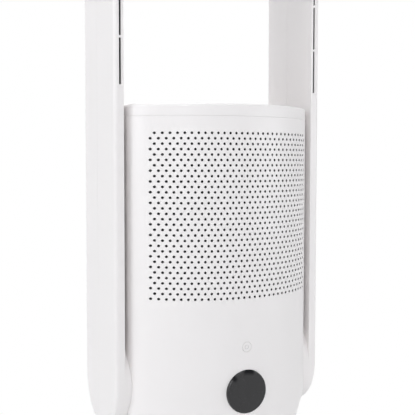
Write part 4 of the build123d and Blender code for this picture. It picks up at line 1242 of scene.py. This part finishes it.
# ------------------------------------------------------------------ controls
@dataclass
class Controls:
    """Display lens and power key in the front of the body.

    Attributes:
        face_y: Front of the body in the middle plane.
        play: Gap round the lens and the key in the front cover.
        lens_r: Radius of the lens.
        lens_z: Height of its centre.
        lens_proud: How far it stands out of the body.
        lens_t: Thickness of its glass.
        lens_wall: Wall of the rim behind the glass.
        lens_bevel: Radius of its polished bevel.
        lens_crown: Radius and rise of points on its slightly domed glass, from the middle outwards.
        board_y: Where the rim ends, in front of the display board.
        key_r: Radius of the key.
        key_z: Height of its centre.
        key_bevel: Radius of the key's rounded edge.
        key_dish: Radius and depth of points on the key's face, from the middle outwards.
        key_flange_t: Thickness of the flange that keeps the key in.
        symbol_r: Radius of the sign's ring.
        symbol_gap: Half of the ring's opening at the top, in degrees.
        symbol_steps: Pieces that the ring is cut into.
        symbol_bar: Length of the sign's bar, in line widths.
        symbol_depths: How deep the sign's front and back lie in the key.
        line_w: Width of the sign's lines.
        windows: For each sensor window its middle, and the half widths at which it starts to fade
            and is gone, all as angles from the top in radians.
        window_ring: Shares of the lens radius between which the windows fade in.
        window_coat: Strength of the gloss over a window.
        FACETS: Facets round the lens and the key.
    """

    face_y: float = -111.0
    play: float = 0.3
    lens_r: float = 25.0
    lens_z: float = 130.8
    lens_proud: float = 1.6
    lens_t: float = 4.6
    lens_wall: float = 3.0
    lens_bevel: float = 1.1
    lens_crown: tuple[Pair, ...] = ((0.0, 0.15), (8.0, 0.13), (16.0, 0.07))
    board_y: float = -103.0
    key_r: float = 5.7
    key_z: float = 182.4
    key_bevel: float = 0.4
    key_dish: tuple[Pair, ...] = ((0.0, 0.22), (2.5, 0.16), (4.4, 0.04))
    key_flange_t: float = 1.0
    symbol_r: float = 2.3
    symbol_gap: float = 38.0
    symbol_steps: int = 40
    symbol_bar: float = 3.8
    symbol_depths: Pair = (0.02, 0.6)
    line_w: float = 0.35
    windows: tuple[Triple, ...] = ((0.10, 0.20, 0.36), (-0.78, 0.05, 0.17))
    window_ring: Pair = (0.74, 0.90)
    window_coat: float = 0.04

    FACETS = 96

    def bores(self) -> tuple[Bore, Bore]:
        """Gives the front cover's openings for the lens and the key."""
        return (Bore(self.lens_r + self.play, self.lens_z, 10, 0, 15),
                Bore(self.key_r + self.play, self.key_z, 3, 19, 25))

    def turned(self, name: str, profile: Sequence[Spot], height: float,
               material: bpy.types.Material) -> bpy.types.Object:
        """Turns a profile round an axis that runs front to back.

        Args:
            name: Name of the piece.
            profile: Points (radius, y).
            height: Height of the axis.
            material: Material of the piece.

        Returns:
            The piece, on no body yet.
        """
        shape = lathe(profile, self.FACETS)
        stand = Matrix.Translation((0.0, 0.0, height)) @ Matrix.Rotation(-math.pi / 2, 4, "X")
        bmesh.ops.transform(shape, matrix=stand, verts=shape.verts)
        return finished(name, shape, material)

    def lens(self, material: bpy.types.Material) -> bpy.types.Object:
        """Makes the black lens with its polished bevel and the rim behind it.

        Args:
            material: Its material.

        Returns:
            The piece, on its body.
        """
        front, inner_r = self.face_y - self.lens_proud, self.lens_r - self.lens_wall
        crown = [(radius, front - rise) for radius, rise in self.lens_crown]
        bevel = arc((self.lens_r - self.lens_bevel, front + self.lens_bevel), self.lens_bevel, -90.0, 0.0, 6)
        profile = [*crown, *bevel, (self.lens_r, self.board_y), (inner_r, self.board_y),
                   (inner_r, front + self.lens_t), (0.0, front + self.lens_t)]
        self.sensor_windows(material)
        piece = self.turned("display_glass", profile, self.lens_z, material)
        return settle(piece, "tower", "lens_black", "display_lens")

    def sensor_windows(self, material: bpy.types.Material) -> None:
        """Prints two dull sensor windows on the back of the glass, near its upper rim.

        Args:
            material: The lens material.
        """
        tree = Tree(material.node_tree)
        shader = next(node for node in tree.tree.nodes if node.type == "BSDF_PRINCIPLED")
        part = tree.add("ShaderNodeSeparateXYZ", {0: tree.place()}).outputs
        rise = tree.math("SUBTRACT", part["Z"], self.lens_z * MM)
        away = tree.length(tree.vector(X=part["X"], Y=rise))
        low, high = (share * self.lens_r * MM for share in self.window_ring)
        ring = tree.ramp(away, low, high, 0.0, 1.0)
        turn = tree.math("ARCTAN2", part["X"], rise)
        marks = [tree.ramp(tree.math("ABSOLUTE", tree.math("SUBTRACT", turn, centre)), inner, outer, 1.0, 0.0)
                 for centre, inner, outer in self.windows]
        mask = tree.math("MULTIPLY", ring, tree.math("MAXIMUM", *marks))
        coat = tree.ramp(mask, 0.0, 1.0, 1.0, self.window_coat)
        tree.tree.links.new(coat, shader.inputs["Coat Weight"])

    def key(self, material: bpy.types.Material) -> bpy.types.Object:
        """Makes the power key, slightly dished, with its flange.

        Args:
            material: Its material.

        Returns:
            The piece, on its body.
        """
        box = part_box("power_key")
        back, flange = box[1].y / MM, (box[1].x - box[0].x) / MM / 2
        shoulder = back - self.key_flange_t
        dish = [(radius, self.face_y + depth) for radius, depth in self.key_dish]
        edge = arc((self.key_r - self.key_bevel, self.face_y + self.key_bevel), self.key_bevel, -90.0, 0.0, 4)
        profile = [*dish, *edge, (self.key_r, shoulder), (flange, shoulder), (flange, back), (0.0, back)]
        piece = self.turned("power_button", profile, self.key_z, material)
        return settle(piece, "power_key", "gloss_white", "power_key")

    def symbol(self, material: bpy.types.Material) -> bpy.types.Object:
        """Makes the plain on and off sign that is inlaid in the key.

        Args:
            material: Its material.

        Returns:
            The piece, on its body.
        """
        shape = bmesh.new()
        front, back = (self.face_y + depth for depth in self.symbol_depths)
        low, high = self.symbol_r - self.line_w / 2, self.symbol_r + self.line_w / 2
        opening = 90.0 + self.symbol_gap
        rims = []
        ways = arc((0.0, 0.0), 1.0, opening, opening + 360.0 - 2 * self.symbol_gap, self.symbol_steps)
        for way_x, way_z in ways:
            rims.append([shape.verts.new((way_x * r, y, self.key_z + way_z * r))
                         for r, y in ((low, front), (high, front), (high, back), (low, back))])
        loft(shape, rims)
        bar = bmesh.ops.create_cube(shape, size=1.0)["verts"]
        size = Matrix.Diagonal((self.line_w, back - front, self.symbol_bar * self.line_w, 1.0))
        place = Matrix.Translation((0.0, (front + back) / 2, self.key_z + self.symbol_r - self.line_w))
        bmesh.ops.transform(shape, matrix=place @ size, verts=bar)
        bmesh.ops.recalc_face_normals(shape, faces=shape.faces)
        piece = plain_object("power_sign", mesh_of(shape, "power_sign"))
        piece.data.materials.append(material)
        return settle(piece, "power_key", "grey_plastic")


# ------------------------------------------------------------------ filter
@dataclass
class PleatedFilter:
    """Pleated paper of the filter cartridge.

    Attributes:
        pleats: Number of pleats.
        paper_t: Thickness of the paper.
        outer_play: Gap to the outside of the cartridge.
        core_play: Gap to the carbon core.
        end_play: Gap to each of the end caps.
        MERGE: Distance in metres under which points are merged.
    """

    pleats: int = 72
    paper_t: float = 0.7
    outer_play: float = 0.2
    core_play: float = 0.3
    end_play: float = 0.1

    MERGE = 1e-5

    def build(self, material: bpy.types.Material) -> bpy.types.Object:
        """Folds the paper between the radii of its node.

        Args:
            material: Its material.

        Returns:
            The piece, on its body.
        """
        low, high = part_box("filter_media")
        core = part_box("carbon_core")[1].x
        names = ("Outer", "Inner", "Height", "Base", "Paper")
        tree = Recipe("pleats_recipe", {**{name: float for name in names}, "Pleats": int})
        given = tree.given
        stars = []
        for thinner in (0.0, given["Paper"]):
            radii = {name + " Radius": tree.math("SUBTRACT", given[name], thinner)
                     for name in ("Inner", "Outer")}
            star = tree.add("GeometryNodeCurveStar", {"Points": given["Pleats"], "Twist": 0.0, **radii})
            stars.append(star.outputs["Curve"])
        flat = tree.add("GeometryNodeFillCurve", {"Curve": tree.join(*stars)}, mode="TRIANGLES")
        paper = tree.thicken(flat.outputs[0], tree.vector(Z=given["Height"]), self.MERGE)
        stood = tree.add("GeometryNodeTransform", {"Geometry": paper,
                                                   "Translation": tree.vector(Z=given["Base"])})
        tree.close(stood.outputs[0])
        piece = tree.run("filter_pleats", material, None, Outer=high.x - self.outer_play * MM,
                         Inner=core + (self.paper_t + self.core_play) * MM,
                         Height=high.z - low.z - 2 * self.end_play * MM,
                         Base=low.z + self.end_play * MM, Paper=self.paper_t * MM, Pleats=self.pleats)
        return settle(piece, "tower", "filter_paper", "filter_media")


# ------------------------------------------------------------------ screws and feet
@dataclass
class Fasteners:
    """Pan head screws with a cross recess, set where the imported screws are.

    Attributes:
        nodes: The frame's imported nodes.
        facets: Facets round a screw.
        thread_pitch: Pitch of the thread.
        rounding: Radius of the head's rounded edge.
        neck: Plain shank under the head.
        root: Radius at the root of the thread, in shank radii.
        end_t: Length kept free of thread at the tip.
        tip: Radius of the tip in shank radii, and its length.
        recess: Half width and half length of the cross recess in head radii, and its depth in head
            thicknesses.
        recess_floor: Size of the recess at its floor, in parts of its size at the top.
        sharp_deg: Angle from which an edge stays sharp.
        tree: The recipe, once it is built.
        NEAR: Distance under which points count as being in one place.
        END: Distance in metres from an end of a screw at which points still belong to that end.
    """

    nodes: dict[str, bpy.types.Object]
    facets: int = 20
    thread_pitch: float = 1.0
    rounding: float = 0.5
    neck: float = 0.2
    root: float = 0.84
    end_t: float = 1.0
    tip: Pair = (0.6, 0.3)
    recess: Triple = (0.13, 0.5, 0.62)
    recess_floor: float = 0.75
    sharp_deg: float = 28.0
    tree: Recipe | None = None

    NEAR = 1e-6
    END = 1e-5

    def spots(self, node: str) -> list[tuple[Vector, Vector, float, float]]:
        """Reads where the screws of one node stand.

        Args:
            node: The node with the screws.

        Returns:
            For each screw the middle of its head's top, the way to its tip, its length and the
            head's radius, in metres.
        """
        shape = bmesh.new()
        shape.from_mesh(self.nodes[node].data)
        bmesh.ops.remove_doubles(shape, verts=shape.verts, dist=self.NEAR)
        left = set(shape.verts)
        found = []
        while left:
            group, queue = set(), [left.pop()]
            while queue:
                vertex = queue.pop()
                group.add(vertex)
                for edge in vertex.link_edges:
                    other = edge.other_vert(vertex)
                    if other in left:
                        left.discard(other)
                        queue.append(other)
            found.append(self.measure([vertex.co.copy() for vertex in group]))
        shape.free()
        return sorted(found, key=lambda spot: tuple(round(c, 6) for c in spot[0]))

    @staticmethod
    def measure(points: list[Vector]) -> tuple[Vector, Vector, float, float]:
        """Measures one screw from its points.

        Args:
            points: The screw's vertices.

        Returns:
            Its place, direction, length and head radius.
        """
        low = Vector(min(p[k] for p in points) for k in range(3))
        high = Vector(max(p[k] for p in points) for k in range(3))
        size = high - low
        gaps = [abs(size[(k + 1) % 3] - size[(k + 2) % 3]) for k in range(3)]
        axis = gaps.index(min(gaps))
        middle = (low + high) / 2
        across = [k for k in range(3) if k != axis]

        def width(end: float) -> float:
            """Gives how far the points at one end reach from the axis."""
            near = [p for p in points if abs(p[axis] - end) < Fasteners.END]
            return max(math.hypot(*(p[k] - middle[k] for k in across)) for p in near)

        head_low = width(low[axis]) > width(high[axis])
        top = middle.copy()
        top[axis] = low[axis] if head_low else high[axis]
        way = Vector((0.0, 0.0, 0.0))
        way[axis] = 1.0 if head_low else -1.0
        return top, way, size[axis], max(size[k] for k in across) / 2

    def screw(self, length: float, head_r: float, head_t: float) -> bpy.types.Mesh:
        """Makes one screw that hangs down from the middle of its head.

        Args:
            length: Whole length in millimetres.
            head_r: Radius of the head.
            head_t: Thickness of the head.

        Returns:
            The mesh, in metres.
        """
        shank = head_r / 2
        edge = arc((head_r - self.rounding, -self.rounding), self.rounding, 78.0, 0.0, 3)
        profile = [(0.0, 0.0), *edge, (head_r, -head_t), (shank, -head_t)]
        turns = int((length - head_t - self.end_t) / self.thread_pitch)
        for k in range(turns):
            z = -head_t - self.neck - k * self.thread_pitch
            profile += [(shank, z), (self.root * shank, z - self.thread_pitch / 2)]
        profile += [(self.tip[0] * shank, -length + self.tip[1]), (0.0, -length)]
        shape = lathe(profile, self.facets)
        hub = [v for v in shape.verts if v.co.length < self.NEAR]
        bmesh.ops.delete(shape, geom=hub, context="VERTS")
        arm, tip, depth = (part * size for part, size in zip(self.recess, (head_r, head_r, head_t)))
        cross = [(tip, arm), (arm, arm), (arm, tip), (-arm, tip), (-arm, arm), (-tip, arm),
                 (-tip, -arm), (-arm, -arm), (-arm, -tip), (arm, -tip), (arm, -arm), (tip, -arm)]
        top = [shape.verts.new((x, y, 0.0)) for x, y in cross]
        narrow = self.recess_floor
        floor = [shape.verts.new((narrow * x, narrow * y, -depth)) for x, y in cross]
        for k in range(len(cross)):
            after = (k + 1) % len(cross)
            shape.faces.new((top[k], floor[k], floor[after], top[after]))
        shape.faces.new(floor)
        lips = [e for e in shape.edges if e.is_boundary]
        bmesh.ops.triangle_fill(shape, edges=lips, use_beauty=True)
        bmesh.ops.recalc_face_normals(shape, faces=shape.faces)
        return mesh_of(shape, "screw")

    def recipe(self) -> Recipe:
        """Builds the tree that sets a screw on each spot.

        Returns:
            The recipe.
        """
        tree = Recipe("screws_recipe", {"Screw": bpy.types.Object})
        back = tree.add("ShaderNodeVectorMath", {0: tree.attribute("way", "FLOAT_VECTOR"),
                                                 1: (-1.0, -1.0, -1.0)}, operation="MULTIPLY")
        turn = tree.add("FunctionNodeAlignRotationToVector", {"Vector": back.outputs[0]}, axis="Z")
        tree.close(tree.scatter(tree.given["Geometry"], "Screw", Rotation=turn.outputs[0]))
        return tree

    def build(self, node: str, body: str, material: bpy.types.Material, head_t: float) -> bpy.types.Object:
        """Makes the screws of one node.

        Args:
            node: The node with the screws.
            body: The body that it is on.
            material: Its material.
            head_t: Thickness of the heads in millimetres.

        Returns:
            The piece, on its body.
        """
        self.tree = self.tree or self.recipe()
        spots = self.spots(node)
        mesh = bpy.data.meshes.new(node)
        mesh.from_pydata([tuple(place) for place, _, _, _ in spots], [], [])
        layer = mesh.attributes.new("way", "FLOAT_VECTOR", "POINT")
        for item, (_, way, _, _) in zip(layer.data, spots):
            item.vector = way
        screw = plain_object("screw", self.screw(spots[0][2] / MM, spots[0][3] / MM, head_t))
        piece = self.tree.run(node + "_set", material, mesh, Screw=screw)
        bpy.data.objects.remove(screw)
        smooth(piece.data, self.sharp_deg)
        return settle(piece, body, "zinc_steel", node)


@dataclass
class Feet:
    """Rubber feet with a rounded rim and a hollow underneath.

    Attributes:
        radius: Radius of a foot.
        height: Height of a foot.
        rounding: Radius of a foot's rounded rim.
        hollow: Depth of the hollow.
        lip: Distances from the outside at which the hollow starts and reaches its depth.
        circle_r: Radius of the circle that they stand on.
        count: Number of feet.
        facets: Facets round a foot.
    """

    radius: float = 8.8
    height: float = 3.0
    rounding: float = 0.9
    hollow: float = 0.5
    lip: Pair = (3.6, 4.2)
    circle_r: float = 112.0
    count: int = 6
    facets: int = 40

    def build(self, material: bpy.types.Material) -> bpy.types.Object:
        """Turns one foot and sets it round the base.

        Args:
            material: Its material.

        Returns:
            The piece, on its body.
        """
        edge = arc((self.radius - self.rounding, self.rounding), self.rounding, -90.0, 0.0, 4)
        profile = [(0.0, self.hollow), (self.radius - self.lip[1], self.hollow),
                   (self.radius - self.lip[0], 0.0), *edge, (self.radius, self.height), (0.0, self.height)]
        foot = plain_object("foot", mesh_of(lathe(profile, self.facets), "foot"))
        tree = Recipe("feet_recipe", {"Foot": bpy.types.Object, "Radius": float, "Count": int})
        ring = tree.add("GeometryNodeMeshCircle", {"Vertices": tree.given["Count"],
                                                   "Radius": tree.given["Radius"]})
        half_step = tree.math("DIVIDE", math.pi, tree.given["Count"])
        turned = tree.add("GeometryNodeTransform", {"Geometry": ring.outputs[0],
                                                    "Rotation": tree.vector(Z=half_step)})
        tree.close(tree.scatter(turned.outputs[0], "Foot"))
        piece = tree.run("feet", material, None, Foot=foot, Radius=self.circle_r * MM, Count=self.count)
        bpy.data.objects.remove(foot)
        smooth(piece.data)
        return settle(piece, "base", "rubber", "rubber_feet")


# ------------------------------------------------------------------ studio
@dataclass
class Studio:
    """Camera, lamps, world and floor.

    Attributes:
        camera_place: Where the camera stands.
        heading: Its heading in plan, as a vector of length 1.
        pitch_deg: Its angle above the horizon.
        roll_deg: Its angle round its own axis.
        lens: Focal length.
        sensor: Width of the sensor.
        sight: How far the camera sees.
        ambient: Brightness of the world where it lights.
        tint: Colour of the lamps and the world.
        aim_z: Height at which the lamps are aimed.
        floor_r: Radius of the floor.
        floor_grey: Brightness of its matt surface.
        matt_r: Distances from the axis between which the floor turns from matt to white.
        matt_share: How white the floor is seen at the first of them.
        lamps: Name, place, diameter and power of each lamp.
    """

    camera_place: Point = (-460.8, -917.9, 395.1)
    heading: Spot = (0.45314, 0.89144)
    pitch_deg: float = -3.2945
    roll_deg: float = 0.0765
    lens: float = 71.37
    sensor: float = 36.0
    sight: float = 50000.0
    ambient: float = 0.02
    tint: Colour = (0.962, 0.979, 1.0)
    aim_z: float = 450.0
    floor_r: float = 6000.0
    floor_grey: float = 0.92
    matt_r: Pair = (140.0, 260.0)
    matt_share: float = 0.45
    lamps: tuple[tuple[str, Point, float, float], ...] = (
        ("left", (-2600.0, 20.0, 1300.0), 1800.0, 29.0),
        ("key", (-1500.0, -2300.0, 1500.0), 1700.0, 27.0),
        ("front", (200.0, -2800.0, 1200.0), 1800.0, 8.0),
        ("fill", (1900.0, -1500.0, 900.0), 1800.0, 16.7),
        ("top", (0.0, 300.0, 2600.0), 1800.0, 44.0),
        ("back", (700.0, 2700.0, 1000.0), 1800.0, 14.0),
    )

    def camera(self) -> None:
        """Sets up the camera."""
        data = bpy.data.cameras.new("camera")
        data.lens, data.sensor_width = self.lens, self.sensor
        data.clip_end = self.sight * MM
        camera = bpy.data.objects.new("camera", data)
        bpy.context.scene.collection.objects.link(camera)
        camera.location = Vector(self.camera_place) * MM
        pitch = math.radians(self.pitch_deg)
        look = Vector((*(part * math.cos(pitch) for part in self.heading), math.sin(pitch)))
        roll = Matrix.Rotation(math.radians(self.roll_deg), 3, "Z")
        camera.rotation_euler = (look.to_track_quat("-Z", "Y").to_matrix() @ roll).to_euler()
        bpy.context.scene.camera = camera

    def light(self) -> None:
        """Sets up the soft lamps, all aimed at the middle of the tower."""
        for name, place, size, power in self.lamps:
            data = bpy.data.lights.new(name, "AREA")
            data.shape, data.size, data.energy = "DISK", size * MM, power
            data.color = self.tint
            lamp = bpy.data.objects.new(name, data)
            bpy.context.scene.collection.objects.link(lamp)
            lamp.location = Vector(place) * MM
            aim = Vector((0.0, 0.0, self.aim_z * MM)) - lamp.location
            lamp.rotation_euler = aim.to_track_quat("-Z", "Y").to_euler()

    @staticmethod
    def seen_white(tree: Tree) -> bpy.types.NodeSocket:
        """Finds the rays that see a surface straight, in a mirror or through glass.

        Args:
            tree: Tree that the nodes go into.

        Returns:
            A mask that is 1 for camera, glossy and transmission rays.
        """
        path = tree.add("ShaderNodeLightPath").outputs
        mask = tree.math("MAXIMUM", path["Is Camera Ray"], path["Is Glossy Ray"])
        return tree.math("MAXIMUM", mask, path["Is Transmission Ray"])

    def world(self) -> None:
        """Makes the world, white where it is seen and softer where it lights."""
        world = bpy.data.worlds.new("studio")
        tree = blank_tree(world)
        dim = tuple(self.ambient * part for part in self.tint)
        colour = tree.mix(self.seen_white(tree), dim, (1.0, 1.0, 1.0))
        shade = tree.add("ShaderNodeBackground", {"Color": colour, "Strength": 1.0})
        tree.add("ShaderNodeOutputWorld", {"Surface": shade.outputs[0]})
        world.cycles.sampling_method = "NONE"
        bpy.context.scene.world = world

    def floor(self) -> None:
        """Lays the pale floor, which keeps the soft shadow near the base."""
        shape = bmesh.new()
        bmesh.ops.create_circle(shape, cap_ends=True, radius=self.floor_r, segments=96)
        floor = plain_object("floor", mesh_of(shape, "floor"))
        material = bpy.data.materials.new("floor")
        tree = blank_tree(material)
        near, far = (distance * MM for distance in self.matt_r)
        white = tree.ramp(tree.length(tree.place()), near, far, self.matt_share, 1.0)
        share = tree.math("MULTIPLY", self.seen_white(tree), white)
        grey = (*[self.floor_grey] * 3, 1.0)
        matt = tree.add("ShaderNodeBsdfDiffuse", {"Color": grey})
        glow = tree.add("ShaderNodeEmission", {"Color": (1.0, 1.0, 1.0, 1.0), "Strength": 1.0})
        mixed = tree.add("ShaderNodeMixShader", {0: share, 1: matt.outputs[0], 2: glow.outputs[0]})
        tree.add("ShaderNodeOutputMaterial", {"Surface": mixed.outputs[0]})
        material.cycles.emission_sampling = "NONE"
        floor.data.materials.append(material)

    def build(self) -> None:
        """Sets up the whole studio."""
        self.camera()
        self.light()
        self.world()
        self.floor()
        bpy.context.scene.view_settings.view_transform = "Standard"


# ------------------------------------------------------------------ whole purifier
@dataclass
class AirPurifier:
    """The dressed purifier: its finishes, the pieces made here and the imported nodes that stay.

    Attributes:
        frame: The loaded frame, with its record and nodes.
        plan: Plan of the body.
        display: The lens and the key, for which the front cover has openings.
        close_gap: How far the front cover is drawn up into the gap under the cap.
        finishes: The material for each slot, once they are built.
        SCREWS: Node, body and head thickness of each set of screws.
    """

    frame: dict[str, object]
    plan: BodyPlan = field(default_factory=BodyPlan)
    display: Controls = field(default_factory=Controls)
    close_gap: float = 0.35
    finishes: dict[str, bpy.types.Material] = field(default_factory=dict)

    SCREWS = (("base_screws", "base", 1.4), ("swivel_screws", "base", 1.4),
              ("turntable_screws", "tower", 1.6), ("cap_screws", "tower", 2.0),
              ("motor_screws", "tower", 2.0), ("arm_screws", "tower", 2.0), ("board_screws", "tower", 1.6))

    def make_finishes(self) -> None:
        """Builds every material once."""
        groups = SurfaceGroups()
        self.finishes = {finish.slot: finish.build(groups) for finish in FINISHES}

    def dress_nodes(self) -> None:
        """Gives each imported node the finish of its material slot."""
        slots = {row["node"]: row["material_slot"] for row in self.frame["record"]["subparts"]}
        for name, node in self.frame["nodes"].items():
            for place in node.material_slots:
                place.material = self.finishes[slots[name]]

    def covers(self) -> Iterable[bpy.types.Object]:
        """Makes the front cover, the cover over the filter and the near-black sheet of painted shade behind
        each.

        Yields:
            The pieces, on their bodies.
        """
        white = self.finishes["gloss_white"]
        low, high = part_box("front_cover")
        front = PerforatedCover("front_grille", "tower", "front_cover", self.plan, False, low.z / MM,
                                high.z / MM + self.close_gap, 30, self.display.bores())
        yield front.build(white)
        low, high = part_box("rear_filter_cover")
        rear = PerforatedCover("rear_grille", "rear_cover", "rear_filter_cover", self.plan, True, low.z / MM,
                               high.z / MM, 26, scoop=(30.0, 12.0))
        yield rear.build(white)
        # Near-black sheets behind the fields of holes: painted shade.
        for name, cover in (("front_dust_mesh", front), ("rear_dust_mesh", rear)):
            yield ShadeSheet(name, cover).build(self.finishes["foam"])

    def controls(self) -> Iterable[bpy.types.Object]:
        """Makes the lens, the key and its sign.

        Yields:
            The pieces, on their bodies.
        """
        yield self.display.lens(self.finishes["lens_black"])
        yield self.display.key(self.finishes["gloss_white"])
        yield self.display.symbol(self.finishes["grey_plastic"])

    def fasteners(self) -> Iterable[bpy.types.Object]:
        """Makes every set of screws.

        Yields:
            The pieces, on their bodies.
        """
        screws = Fasteners(self.frame["nodes"])
        for node, body, head_t in self.SCREWS:
            yield screws.build(node, body, self.finishes["zinc_steel"], head_t)

    def build(self) -> int:
        """Makes everything.

        Returns:
            The number of pieces made here.
        """
        self.make_finishes()
        self.dress_nodes()
        made = [*self.covers(), *self.controls(), *self.fasteners()]
        made.append(PleatedFilter().build(self.finishes["filter_paper"]))
        made.append(Feet().build(self.finishes["rubber"]))
        return len(made)


def main() -> None:
    """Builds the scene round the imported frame."""
    logging.basicConfig(level=logging.INFO, format="%(name)s: %(message)s")
    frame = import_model()
    Studio().build()
    count = AirPurifier(frame).build()
    LOG.info("%d pieces made round %d nodes", count, len(frame["nodes"]))


if __name__ == "__main__":
    main()
